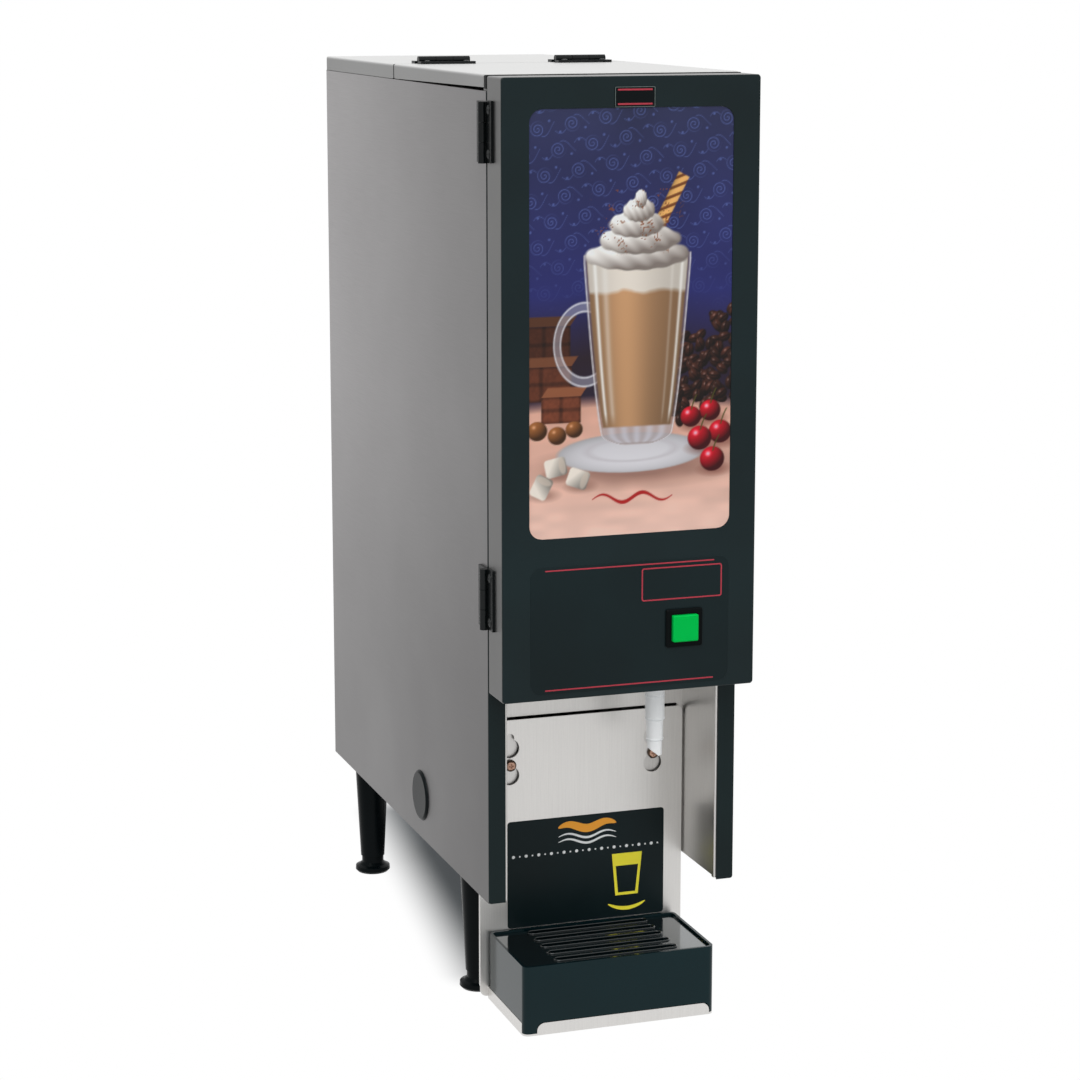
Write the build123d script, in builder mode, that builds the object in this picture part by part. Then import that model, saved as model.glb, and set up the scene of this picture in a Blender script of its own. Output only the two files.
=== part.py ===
from build123d import *
import os

# Countertop hot drink dispenser: a narrow sheet steel cabinet with a powder hopper,
# an auger, a whipping chamber and a gravity-fed hot water tank.
# Sizes are in millimetres. Places are given as x to the right of the cabinet's mid
# line, y back from the front edges of the side walls and z above the table.

os.makedirs("parts", exist_ok=True)

# ---- driving dimensions ----
CABINET_WIDTH = 196.0
CABINET_DEPTH = 446.0
UNDERSIDE = 102.0
CABINET_TOP = 714.4
WALL_TOP = 702.6
LID_SEAM = 237.6
SEAM_GAP = 2.4
SHEET = 1.2

BAY_HALF_WIDTH = 84.4
BAY_DEPTH = 72.5
DECK_LEVEL = 438.0
PARTITION_DEPTH = 234.8

DOOR_BOTTOM = 264.0
DOOR_TOP = 713.4
DOOR_FRONT = -34.3
DOOR_BACK = -2.0
DOOR_FACE_THICKNESS = 2.0
WINDOW_HALF_WIDTH = 77.6
WINDOW_BOTTOM = 383.5
WINDOW_TOP = 691.3
WINDOW_RADIUS = 10.0

BUTTON_X = 42.0
BUTTON_Z = 311.0
BUTTON_SIZE = 20.0
BUTTON_TRAVEL = 3.0
BUTTON_FRONT = -40.0

HINGE_BARREL_RADIUS = 3.2
HINGE_AXIS_X = -CABINET_WIDTH / 2 - HINGE_BARREL_RADIUS - 0.2
HINGE_AXIS_Y = -1.0
PIN_CLEARANCE = 0.05
LID_HINGE_X = 57.0
LID_HINGE_RADIUS = 2.9

BRACKET_FACE = 69.0
BRACKET_HALF_WIDTH = 83.0
BRACKET_TOP = 222.5
BRACKET_BOTTOM = 1.5
SHELF_FRONT = -17.6
STUD_X = 58.5
STUD_Z = 186.9
STUD_DROP = 8.4
KEYHOLE_RADIUS = 7.5
KEYHOLE_RISE = 21.5

TRAY_HALF_WIDTH = 76.6
TRAY_BACK = 67.9
TRAY_TOP = 55.6
TRAY_FLOOR = 13.0
GRILLE_TOP = 53.6

FOOT_X = 74.0
FOOT_FRONT_Y = 101.5
FOOT_REAR_Y = 412.0

NOZZLE_X = 41.0
NOZZLE_Y = 20.0
NOZZLE_TIP = 200.0

WHIP_X = 18.0
WHIP_Z = 308.0
CHAMBER_RADIUS = 27.0
SHAFT_RADIUS = 3.0
PORT_X = 30.0
PORT_Z = 385.0
PORT_RADIUS = 5.0
DUCT = (-18.0, 38.0, 400.0, 428.0)
DUCT_WALL = 3.0

HOPPER_HALF_WIDTH = 82.0
HOPPER_FRONT = 48.0
HOPPER_BACK = 226.0
HOPPER_TOP = 692.0
AUGER_Z = 462.0
TROUGH_RADIUS = 19.0

TANK_HALF_WIDTH = 72.0
TANK_FRONT = 292.0
TANK_BACK = 402.0
TANK_TOP = 612.0
VALVE_X = 62.0
VALVE_Y = 274.0

FAN_X = 46.0
FAN_Z = 650.0
ROCKER_X = -51.0
ROCKER_Z = 337.0
ROCKER_HALF_WIDTH = 11.0
ROCKER_HALF_HEIGHT = 15.0

INLET_X = -58.0
CORD_X = 58.0
INLET_Z = 140.0
ENTRY_RADIUS = 8.0
FITTING_REACH = 22.0

# The origin lies under the middle of the whole outline, on the table.
HALF_WIDTH = CABINET_WIDTH / 2
LEFT_REACH = -HINGE_AXIS_X + HINGE_BARREL_RADIUS
MIDDLE_X = (LEFT_REACH - HALF_WIDTH) / 2
MIDDLE_Y = -(CABINET_DEPTH + FITTING_REACH + BUTTON_FRONT) / 2


def level(height):
    """Horizontal plane; a sketch on it is drawn in x and y, and grows upwards."""
    return Plane((MIDDLE_X, MIDDLE_Y, height))


def facing(depth):
    """Upright plane across the cabinet; drawn in x and z, grows to the front."""
    return Plane((MIDDLE_X, MIDDLE_Y + depth, 0), x_dir=(1, 0, 0), z_dir=(0, -1, 0))


def beside(offset):
    """Upright plane along the cabinet; drawn in y and z, grows to the right."""
    return Plane((MIDDLE_X + offset, MIDDLE_Y, 0), x_dir=(0, 1, 0), z_dir=(1, 0, 0))


def upright(x, y):
    """Vertical axis through a place on the table."""
    return Axis((MIDDLE_X + x, MIDDLE_Y + y, 0), (0, 0, 1))


def lengthwise(x, z):
    """Axis running from front to back."""
    return Axis((MIDDLE_X + x, MIDDLE_Y, z), (0, 1, 0))


def block(low, high, other_low, other_high, radius=0):
    """Rectangle between two corners of the current sketch, its corners rounded."""
    width = high - low
    height = other_high - other_low
    with Locations(((low + high) / 2, (other_low + other_high) / 2)):
        if radius:
            RectangleRounded(width, height, radius)
        else:
            Rectangle(width, height)


def finish(piece, name):
    """Name the piece and write it."""
    piece.part.label = name
    export_step(piece.part, f"parts/{name}.step")


# ---- cabinet sheets ----
WALL_FLANGE = 12.0
SIDE_PLUG_Y = 176.5
SIDE_PLUG_Z = 137.0
SIDE_PLUG_HOLE = 18.1
PLUG_STEM = SIDE_PLUG_HOLE - 0.1
PLUG_DEPTH = 5.2
PLUG_HEAD = 20.4
PLUG_CROWN = 2.0

for side_name, side in (("left", -1), ("right", 1)):
    with BuildPart() as side_panel:
        with BuildSketch(beside(side * HALF_WIDTH)):
            block(SHEET, CABINET_DEPTH - SHEET, UNDERSIDE, WALL_TOP)
        extrude(amount=-side * WALL_FLANGE)
        inner_face = side_panel.faces().sort_by(Axis.X)[0 if side > 0 else -1]
        front_face = side_panel.faces().sort_by(Axis.Y)[0]
        offset(amount=-SHEET, openings=[inner_face, front_face])
        if side < 0:
            with BuildSketch(beside(-HALF_WIDTH)):
                with Locations((SIDE_PLUG_Y, SIDE_PLUG_Z)):
                    Circle(SIDE_PLUG_HOLE)
            extrude(amount=SHEET * 2, mode=Mode.SUBTRACT)
    finish(side_panel, f"side_panel_{side_name}")

with BuildPart() as side_plug:
    with BuildSketch(Plane.XY):
        with BuildLine():
            Polyline(
                (0, PLUG_DEPTH + PLUG_CROWN),
                (0, 0),
                (PLUG_STEM, 0),
                (PLUG_STEM, PLUG_DEPTH),
                (PLUG_HEAD, PLUG_DEPTH),
            )
            ThreePointArc(
                (PLUG_HEAD, PLUG_DEPTH),
                (PLUG_HEAD - 0.8, PLUG_DEPTH + 1.4),
                (PLUG_HEAD - 2.8, PLUG_DEPTH + PLUG_CROWN),
            )
            Line((PLUG_HEAD - 2.8, PLUG_DEPTH + PLUG_CROWN), (0, PLUG_DEPTH + PLUG_CROWN))
        make_face()
    revolve(axis=Axis.Y)
plug_place = Plane(
    (MIDDLE_X - HALF_WIDTH + PLUG_DEPTH, MIDDLE_Y + SIDE_PLUG_Y, SIDE_PLUG_Z),
    x_dir=(0, 1, 0),
    z_dir=(0, 0, 1),
)
side_plug.part = plug_place.location * side_plug.part
finish(side_plug, "side_plug")

FRONT_STRIP = 13.2
FRONT_RAIL = 690.0
STRIP_RIB = 7.0
STRIP_MIDDLE = HALF_WIDTH - FRONT_STRIP / 2
with BuildPart() as front_frame:
    with BuildSketch(facing(SHEET)):
        block(-HALF_WIDTH, HALF_WIDTH, UNDERSIDE, WALL_TOP, 2)
        with Locations((0, UNDERSIDE)):
            Rectangle(
                2 * (HALF_WIDTH - FRONT_STRIP),
                2 * (FRONT_RAIL - UNDERSIDE),
                mode=Mode.SUBTRACT,
            )
    extrude(amount=SHEET)
    with BuildSketch(facing(SHEET)):
        with Locations((-STRIP_MIDDLE, 0), (STRIP_MIDDLE, 0)):
            block(-1, 1, UNDERSIDE + 8, FRONT_RAIL - 8)
    extrude(amount=-STRIP_RIB)
finish(front_frame, "front_frame")

JOG_HALF_WIDTH = 79.8
HEM_THICKNESS = 2.7
HEM_DEPTH = 4.0
with BuildPart() as bay_liner:
    with BuildSketch(level(UNDERSIDE + SHEET)):
        block(-BAY_HALF_WIDTH - SHEET, BAY_HALF_WIDTH + SHEET, SHEET, BAY_DEPTH + SHEET)
        with Locations((0, (SHEET + BAY_DEPTH) / 2)):
            Rectangle(2 * BAY_HALF_WIDTH, BAY_DEPTH - SHEET, mode=Mode.SUBTRACT)
        for side in (-1, 1):
            hem_outside = side * (BAY_HALF_WIDTH + SHEET)
            hem_inside = hem_outside - side * HEM_THICKNESS
            block(*sorted((hem_inside, hem_outside)), SHEET, SHEET + HEM_DEPTH)
    extrude(amount=DECK_LEVEL - UNDERSIDE - SHEET)
    bends = bay_liner.edges().filter_by(Axis.Z).group_by(Axis.Y)
    fillet(bends[-1], 2.0)
    fillet(bends[0], HEM_THICKNESS / 2 - 0.1)
    with BuildSketch(facing(BAY_DEPTH + SHEET)):
        with Locations((WHIP_X, WHIP_Z)):
            Circle(3 * SHAFT_RADIUS)
        with Locations((PORT_X, PORT_Z)):
            Circle(PORT_RADIUS + 0.4)
        with Locations(((DUCT[0] + DUCT[1]) / 2, (DUCT[2] + DUCT[3]) / 2)):
            RectangleRounded(DUCT[1] - DUCT[0] - 8, DUCT[3] - DUCT[2] - 8, 3)
        with Locations((ROCKER_X, ROCKER_Z)):
            Rectangle(2 * ROCKER_HALF_WIDTH, 2 * ROCKER_HALF_HEIGHT)
        block(-JOG_HALF_WIDTH, JOG_HALF_WIDTH, BRACKET_TOP - 0.8, BRACKET_TOP + 1.6, 1.1)
    extrude(amount=SHEET * 2, mode=Mode.SUBTRACT)
finish(bay_liner, "bay_liner")

PAN_BACK = CABINET_DEPTH - 2 * SHEET
PAN_RISE = 14.0
VENT_WIDTH = 5.0
with BuildPart() as base_pan:
    with BuildSketch(level(UNDERSIDE + SHEET)):
        block(-HALF_WIDTH + SHEET, HALF_WIDTH - SHEET, BAY_DEPTH + SHEET, PAN_BACK)
    extrude(amount=PAN_RISE)
    offset(amount=-SHEET, openings=base_pan.faces().sort_by(Axis.Z)[-1])
    with BuildSketch(level(UNDERSIDE)):
        with Locations((0, (FOOT_FRONT_Y + FOOT_REAR_Y) / 2)):
            with GridLocations(0, 17, 1, 11):
                SlotOverall(90, VENT_WIDTH)
    extrude(amount=SHEET * 3, mode=Mode.SUBTRACT)
finish(base_pan, "base_pan")

BACK_VENT_Z = 255.0
SEAM_CORNER = 1.8
with BuildPart() as back_panel:
    with BuildSketch(facing(CABINET_DEPTH)):
        block(-HALF_WIDTH, HALF_WIDTH, UNDERSIDE, WALL_TOP + 0.4)
    extrude(amount=SHEET)
    with BuildSketch(facing(CABINET_DEPTH)):
        with Locations((INLET_X, INLET_Z), (CORD_X, INLET_Z)):
            Circle(ENTRY_RADIUS)
        with Locations((FAN_X, FAN_Z)):
            for ring_radius, hole_count in ((13, 8), (25, 16)):
                with PolarLocations(ring_radius, hole_count):
                    Circle(4)
        with Locations((0, BACK_VENT_Z)):
            with GridLocations(0, 14, 1, 6):
                SlotOverall(120, VENT_WIDTH)
    extrude(amount=SHEET, mode=Mode.SUBTRACT)
finish(back_panel, "back_panel")

with BuildPart() as rear_top_panel:
    with BuildSketch(level(CABINET_TOP)):
        block(-HALF_WIDTH, HALF_WIDTH, LID_SEAM + SEAM_GAP / 2, CABINET_DEPTH)
    extrude(amount=-(CABINET_TOP - WALL_TOP - 0.4))
    fillet(rear_top_panel.edges().group_by(Axis.Z)[-1].filter_by(Axis.Y), 1.6)
    fillet(rear_top_panel.edges().filter_by(Axis.X).sort_by(Axis.Y)[-1], 1.6)
    seam_face = rear_top_panel.faces().sort_by(Axis.Y)[0]
    under_face = rear_top_panel.faces().sort_by(Axis.Z)[0]
    offset(amount=-SHEET, openings=[under_face, seam_face])
    cross_edges = rear_top_panel.edges().filter_by(Axis.X)
    low_edges = cross_edges.group_by(Axis.Y)[0].group_by(Axis.Z)[0]
    fillet(low_edges, SEAM_CORNER)
finish(rear_top_panel, "rear_top_panel")

DECK_FRONT = 52.0
with BuildPart() as equipment_deck:
    with BuildSketch(level(DECK_LEVEL)):
        block(-HALF_WIDTH + SHEET, HALF_WIDTH - SHEET, DECK_FRONT, PAN_BACK)
        with Locations((VALVE_X, VALVE_Y)):
            Circle(7, mode=Mode.SUBTRACT)
    extrude(amount=SHEET)
    with BuildSketch(facing(PARTITION_DEPTH + SHEET)):
        block(-HALF_WIDTH + SHEET, HALF_WIDTH - SHEET, DECK_LEVEL, WALL_TOP - SHEET)
        with Locations((0, AUGER_Z)):
            Circle(13, mode=Mode.SUBTRACT)
    extrude(amount=SHEET)
    with BuildSketch(facing(DECK_FRONT + SHEET)):
        block(-BAY_HALF_WIDTH, BAY_HALF_WIDTH, DECK_LEVEL - 12, DECK_LEVEL + SHEET)
    extrude(amount=SHEET)
finish(equipment_deck, "equipment_deck")

# ---- legs and levelling feet ----
LEG_BOTTOM = 14.4
LEG_TOP_RADIUS = 15.0
LEG_BOTTOM_RADIUS = 10.4
STEM_RADIUS = 4.0
STEM_TOP = 50.0
FOOT_RADIUS = 15.2
FOOT_PLACES = {
    "front_left": (-FOOT_X, FOOT_FRONT_Y),
    "front_right": (FOOT_X, FOOT_FRONT_Y),
    "rear_left": (-FOOT_X, FOOT_REAR_Y),
    "rear_right": (FOOT_X, FOOT_REAR_Y),
}
with BuildPart() as legs:
    for foot_x, foot_y in FOOT_PLACES.values():
        with BuildSketch(beside(foot_x)):
            with Locations((foot_y, 0)):
                Polygon(
                    (STEM_RADIUS + PIN_CLEARANCE, LEG_BOTTOM),
                    (LEG_BOTTOM_RADIUS, LEG_BOTTOM),
                    (LEG_TOP_RADIUS - 0.8, UNDERSIDE - 10),
                    (LEG_TOP_RADIUS, UNDERSIDE - 6),
                    (LEG_TOP_RADIUS, UNDERSIDE),
                    (0, UNDERSIDE),
                    (0, STEM_TOP + 14),
                    (STEM_RADIUS + PIN_CLEARANCE, STEM_TOP + 12),
                    align=None,
                )
        revolve(axis=upright(foot_x, foot_y))
finish(legs, "legs")

for corner, (foot_x, foot_y) in FOOT_PLACES.items():
    with BuildPart() as foot:
        with BuildSketch(beside(foot_x)):
            with Locations((foot_y, 0)):
                Polygon(
                    (0, 0),
                    (FOOT_RADIUS - 1.6, 0),
                    (FOOT_RADIUS, 1.8),
                    (FOOT_RADIUS - 0.3, 5.0),
                    (LEG_BOTTOM_RADIUS + 1.6, 6.4),
                    (LEG_BOTTOM_RADIUS - 0.9, 8.6),
                    (LEG_BOTTOM_RADIUS - 0.9, LEG_BOTTOM),
                    (STEM_RADIUS, LEG_BOTTOM),
                    (STEM_RADIUS, STEM_TOP - 1),
                    (STEM_RADIUS - 1, STEM_TOP),
                    (0, STEM_TOP),
                    align=None,
                )
        revolve(axis=upright(foot_x, foot_y))
    finish(foot, f"foot_{corner}")

# ---- cup bay: hanging bracket, drip tray and grille ----
SLOT_RADIUS = 3.4
STUD_RADIUS = 3.2
STUD_HEAD = 4.5
with BuildPart() as hanger_studs:
    for side in (-1, 1):
        with BuildSketch(facing(BAY_DEPTH)):
            with Locations((side * STUD_X, STUD_Z)):
                Circle(STUD_RADIUS)
        extrude(amount=BAY_DEPTH - BRACKET_FACE + 0.5)
        with BuildSketch(facing(BRACKET_FACE - 0.3)):
            with Locations((side * STUD_X, STUD_Z)):
                Circle(STUD_HEAD)
        extrude(amount=2.2)
    rims = hanger_studs.edges().filter_by(GeomType.CIRCLE).group_by(Axis.Y)[0]
    chamfer(rims, 0.7)
finish(hanger_studs, "hanger_studs")

LIP_LEFT = -66.0
LIP_RIGHT = 72.6
LIP_TOP = 10.8
LIP_RADIUS = 6.0
SHELF_PLATE = 1.5
HEEL_RADIUS = 2.2
TRAY_CORNER = 5.0
with BuildPart() as tray_bracket:
    with BuildSketch(beside(-TRAY_HALF_WIDTH)):
        block(SHELF_FRONT, BRACKET_FACE + SHEET, BRACKET_BOTTOM, BRACKET_BOTTOM + SHELF_PLATE)
        block(BRACKET_FACE, BRACKET_FACE + SHEET, BRACKET_BOTTOM, BRACKET_TOP / 2)
    extrude(amount=2 * TRAY_HALF_WIDTH)
    heel = tray_bracket.edges().filter_by(Axis.X).group_by(Axis.Z)[0].sort_by(Axis.Y)[-1]
    fillet(heel, HEEL_RADIUS)
    fillet(tray_bracket.edges().filter_by(Axis.Z).group_by(Axis.Y)[0], TRAY_CORNER)
    with BuildSketch(facing(BRACKET_FACE + SHEET)):
        block(
            -BRACKET_HALF_WIDTH,
            BRACKET_HALF_WIDTH,
            BRACKET_BOTTOM + HEEL_RADIUS,
            BRACKET_TOP,
            TRAY_CORNER,
        )
    extrude(amount=SHEET)
    with BuildSketch(facing(SHELF_FRONT + SHEET)) as front_lip:
        block(LIP_LEFT, LIP_RIGHT, BRACKET_BOTTOM, LIP_TOP)
        fillet(front_lip.vertices().group_by(Axis.Y)[-1], LIP_RADIUS)
    extrude(amount=SHEET)
    with BuildSketch(facing(BRACKET_FACE + SHEET)):
        for side in (-1, 1):
            for rise in (0, KEYHOLE_RISE):
                with Locations((side * STUD_X, STUD_Z - STUD_DROP + rise)):
                    Circle(KEYHOLE_RADIUS)
                with Locations((side * STUD_X, STUD_Z - STUD_DROP / 2 + rise)):
                    SlotOverall(STUD_DROP + 2 * SLOT_RADIUS, 2 * SLOT_RADIUS, rotation=90)
    extrude(amount=SHEET * 2, mode=Mode.SUBTRACT)
    for side in (-1, 1):
        with BuildSketch(beside(side * TRAY_HALF_WIDTH)) as side_lip:
            block(SHELF_FRONT + TRAY_CORNER, BRACKET_FACE, BRACKET_BOTTOM, LIP_TOP)
        extrude(side_lip.sketch, amount=-side * SHEET)
        with BuildSketch(beside(side * BRACKET_HALF_WIDTH)) as flange:
            block(BRACKET_FACE, BAY_DEPTH - 0.2, 12, BRACKET_TOP - 8)
        extrude(flange.sketch, amount=-side * SHEET)
finish(tray_bracket, "tray_bracket")

SHELF_TOP = BRACKET_BOTTOM + SHELF_PLATE
RIM_WALL = 2.0
TRAY_WALL = 4.0
SKIRT_TOP = 11.0
SKIRT_CUT = SKIRT_TOP + 0.3
LIP_GAP = 0.5
with BuildPart() as drip_tray:
    with BuildSketch(level(SHELF_TOP)):
        block(-TRAY_HALF_WIDTH, TRAY_HALF_WIDTH, SHELF_FRONT, TRAY_BACK, TRAY_CORNER)
    extrude(amount=TRAY_TOP - SHELF_TOP)
    with BuildSketch(level(GRILLE_TOP - 2)):
        block(
            -TRAY_HALF_WIDTH + RIM_WALL,
            TRAY_HALF_WIDTH - RIM_WALL,
            SHELF_FRONT + RIM_WALL,
            TRAY_BACK - RIM_WALL,
            4,
        )
    extrude(amount=TRAY_TOP - GRILLE_TOP + 2, mode=Mode.SUBTRACT)
    with BuildSketch(level(TRAY_FLOOR)):
        block(
            -TRAY_HALF_WIDTH + TRAY_WALL,
            TRAY_HALF_WIDTH - TRAY_WALL,
            SHELF_FRONT + TRAY_WALL,
            TRAY_BACK - TRAY_WALL,
            3,
        )
    extrude(amount=TRAY_TOP - TRAY_FLOOR, mode=Mode.SUBTRACT)
    with BuildSketch(level(SHELF_TOP)):
        block(
            -TRAY_HALF_WIDTH + RIM_WALL,
            TRAY_HALF_WIDTH - RIM_WALL,
            SHELF_FRONT + RIM_WALL,
            TRAY_BACK - RIM_WALL,
            3,
        )
    extrude(amount=SKIRT_TOP - SHELF_TOP, mode=Mode.SUBTRACT)
    with BuildSketch(facing(0)):
        block(LIP_LEFT - LIP_GAP, LIP_RIGHT + LIP_GAP, -SKIRT_TOP, SKIRT_CUT, LIP_RADIUS)
    extrude(amount=30, mode=Mode.SUBTRACT)
    for side in (-1, 1):
        with BuildSketch(beside(side * TRAY_HALF_WIDTH)) as side_cut:
            block(SHELF_FRONT + TRAY_CORNER - LIP_GAP, TRAY_BACK, 0, SKIRT_CUT)
        extrude(side_cut.sketch, amount=-side * TRAY_CORNER, mode=Mode.SUBTRACT)
finish(drip_tray, "drip_tray")

GRILLE_GAP = 0.4
SLOT_X = 2.0
SLOT_LENGTH = 97.0
SLOT_WIDTH = 6.4
SLOT_PITCH = 15.8
SLOT_RIM = 1.1
SLOT_FIELD_Y = 28.9
with BuildPart() as drip_grille:
    with BuildSketch(level(GRILLE_TOP - 2)):
        block(
            -TRAY_HALF_WIDTH + RIM_WALL + GRILLE_GAP,
            TRAY_HALF_WIDTH - RIM_WALL - GRILLE_GAP,
            SHELF_FRONT + RIM_WALL + GRILLE_GAP,
            TRAY_BACK - RIM_WALL - GRILLE_GAP,
            4,
        )
    extrude(amount=2)
    with BuildSketch(level(GRILLE_TOP)):
        with Locations((SLOT_X, SLOT_FIELD_Y)):
            with GridLocations(0, SLOT_PITCH, 1, 5):
                SlotOverall(SLOT_LENGTH + 2 * SLOT_RIM, SLOT_WIDTH + 2 * SLOT_RIM)
    extrude(amount=0.7)
    with BuildSketch(level(GRILLE_TOP - 2)):
        with Locations((SLOT_X, SLOT_FIELD_Y)):
            with GridLocations(0, SLOT_PITCH, 1, 5):
                SlotOverall(SLOT_LENGTH, SLOT_WIDTH)
    extrude(amount=4, mode=Mode.SUBTRACT)
finish(drip_grille, "drip_grille")

# ---- door ----
SHELL_FRONT = DOOR_FRONT + DOOR_FACE_THICKNESS
POSTER_THICKNESS = 0.5
LENS_THICKNESS = 1.0
LAMP_Y = -19.0
LAMP_RADIUS = 7.75
with BuildPart() as door_shell:
    with BuildSketch(facing(DOOR_BACK)):
        block(-HALF_WIDTH, HALF_WIDTH, DOOR_BOTTOM, DOOR_TOP, 1.5)
    extrude(amount=DOOR_BACK - SHELL_FRONT)
    offset(amount=-SHEET, openings=door_shell.faces().sort_by(Axis.Y)[-1])
    with BuildSketch(facing(SHELL_FRONT + SHEET)):
        block(
            -WINDOW_HALF_WIDTH + 4,
            WINDOW_HALF_WIDTH - 4,
            WINDOW_BOTTOM + 4,
            WINDOW_TOP - 4,
            8,
        )
        with Locations((BUTTON_X, BUTTON_Z)):
            Rectangle(25, 25)
    extrude(amount=SHEET, mode=Mode.SUBTRACT)
finish(door_shell, "door_shell")

with BuildPart() as door_face:
    with BuildSketch(facing(SHELL_FRONT)):
        block(-HALF_WIDTH, HALF_WIDTH, DOOR_BOTTOM, DOOR_TOP, 2.5)
    extrude(amount=DOOR_FACE_THICKNESS)
    chamfer(door_face.faces().sort_by(Axis.Y)[0].edges(), 0.5)
    with BuildSketch(facing(SHELL_FRONT)):
        block(
            -WINDOW_HALF_WIDTH,
            WINDOW_HALF_WIDTH,
            WINDOW_BOTTOM,
            WINDOW_TOP,
            WINDOW_RADIUS,
        )
        with Locations((BUTTON_X, BUTTON_Z)):
            Rectangle(25, 25)
    extrude(amount=DOOR_FACE_THICKNESS, mode=Mode.SUBTRACT)
finish(door_face, "door_face")

for sheet_name, sheet_back, sheet_thickness in (
    ("display_film", SHELL_FRONT, POSTER_THICKNESS),
    ("display_lens", SHELL_FRONT - POSTER_THICKNESS, LENS_THICKNESS),
):
    with BuildPart() as display_sheet:
        with BuildSketch(facing(sheet_back)):
            block(
                -WINDOW_HALF_WIDTH + 0.1,
                WINDOW_HALF_WIDTH - 0.1,
                WINDOW_BOTTOM + 0.1,
                WINDOW_TOP - 0.1,
                WINDOW_RADIUS - 0.1,
            )
        extrude(amount=sheet_thickness)
    finish(display_sheet, sheet_name)

with BuildPart() as door_back_cover:
    with BuildSketch(facing(DOOR_BACK)):
        block(
            -HALF_WIDTH + SHEET,
            HALF_WIDTH - SHEET,
            DOOR_BOTTOM + SHEET,
            DOOR_TOP - SHEET,
            1,
        )
    extrude(amount=SHEET)
    with BuildSketch(facing(DOOR_BACK)):
        with Locations((0, 640), (0, 430)):
            with GridLocations(0, 9, 1, 5):
                SlotOverall(60, 3.5)
    extrude(amount=SHEET, mode=Mode.SUBTRACT)
finish(door_back_cover, "door_back_cover")

COVER_FACE = DOOR_BACK - SHEET
LAMP_LOW = 394.0
LAMP_HIGH = 682.0
with BuildPart() as lamp_tube:
    with BuildSketch(level(LAMP_LOW)):
        with Locations((0, LAMP_Y)):
            Circle(LAMP_RADIUS)
    extrude(amount=LAMP_HIGH - LAMP_LOW)
    fillet(lamp_tube.edges().filter_by(GeomType.CIRCLE), 1.5)
finish(lamp_tube, "lamp_tube")

with BuildPart() as lamp_holders:
    for holder_low, holder_high in (
        (LAMP_LOW - 12, LAMP_LOW),
        (LAMP_HIGH, LAMP_HIGH + 12),
    ):
        with BuildSketch(level(holder_low)):
            block(-11, 11, LAMP_Y - 10, COVER_FACE, 3)
        extrude(amount=holder_high - holder_low)
finish(lamp_holders, "lamp_holders")

BEZEL_SIZE = 28.5
CAP_BACK = -25.0
CAP_WALL = 1.6
SWITCH_FRONT = -16.5
with BuildPart() as button_bezel:
    with BuildSketch(facing(DOOR_FRONT)):
        with Locations((BUTTON_X, BUTTON_Z)):
            RectangleRounded(BEZEL_SIZE, BEZEL_SIZE, 1.5)
    extrude(amount=2.6)
    chamfer(button_bezel.faces().sort_by(Axis.Y)[0].edges(), 0.9)
    with BuildSketch(facing(DOOR_FRONT)):
        with Locations((BUTTON_X, BUTTON_Z)):
            Rectangle(24.6, 24.6)
    extrude(amount=DOOR_FRONT - SWITCH_FRONT)
    with BuildSketch(facing(DOOR_FRONT)):
        with Locations((BUTTON_X, BUTTON_Z)):
            Rectangle(BUTTON_SIZE + 0.8, BUTTON_SIZE + 0.8)
    extrude(amount=22, both=True, mode=Mode.SUBTRACT)
finish(button_bezel, "button_bezel")

with BuildPart() as button_cap:
    with BuildSketch(facing(CAP_BACK)):
        with Locations((BUTTON_X, BUTTON_Z)):
            RectangleRounded(BUTTON_SIZE, BUTTON_SIZE, 1.2)
    extrude(amount=CAP_BACK - BUTTON_FRONT)
    fillet(button_cap.faces().sort_by(Axis.Y)[0].edges(), 1.0)
    offset(amount=-CAP_WALL, openings=button_cap.faces().sort_by(Axis.Y)[-1])
    with BuildSketch(facing(CAP_BACK)):
        with Locations((BUTTON_X, BUTTON_Z)):
            Circle(2.6)
    extrude(amount=CAP_BACK - BUTTON_FRONT - 1.0)
finish(button_cap, "button_cap")

SPRING_RADIUS = 4.2
SPRING_WIRE = 0.4
SPRING_TURNS = 7
SPRING_FRONT = BUTTON_FRONT + CAP_WALL + SPRING_WIRE + 0.1
SPRING_LENGTH = SWITCH_FRONT - SPRING_FRONT - SPRING_WIRE - 0.1
with BuildPart() as button_spring:
    with BuildLine() as spring_line:
        Helix(
            pitch=SPRING_LENGTH / SPRING_TURNS,
            height=SPRING_LENGTH,
            radius=SPRING_RADIUS,
            center=(MIDDLE_X + BUTTON_X, MIDDLE_Y + SPRING_FRONT, BUTTON_Z),
            direction=(0, 1, 0),
        )
    with BuildSketch(Plane(spring_line.line @ 0, z_dir=spring_line.line % 0)):
        RegularPolygon(SPRING_WIRE, 6)
    sweep(path=spring_line.line, is_frenet=True)
finish(button_spring, "button_spring")

with BuildPart() as button_switch:
    with BuildSketch(facing(COVER_FACE)):
        with Locations((BUTTON_X, BUTTON_Z)):
            Rectangle(24.6, 20)
    extrude(amount=COVER_FACE - SWITCH_FRONT)
    with BuildSketch(facing(SWITCH_FRONT)):
        with Locations((BUTTON_X, BUTTON_Z)):
            Circle(1.8)
    extrude(amount=5.3)
finish(button_switch, "button_switch")

# Door hinges: two knuckles on the frame leaf clasp one knuckle on the door leaf.
DOOR_HINGE_SPANS = ((652.0, 695.5), (312.6, 358.0))
HINGE_PIN_RADIUS = 1.5
LEAF_PLATE = 2.0
KNUCKLE_GAP = 0.35


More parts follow.
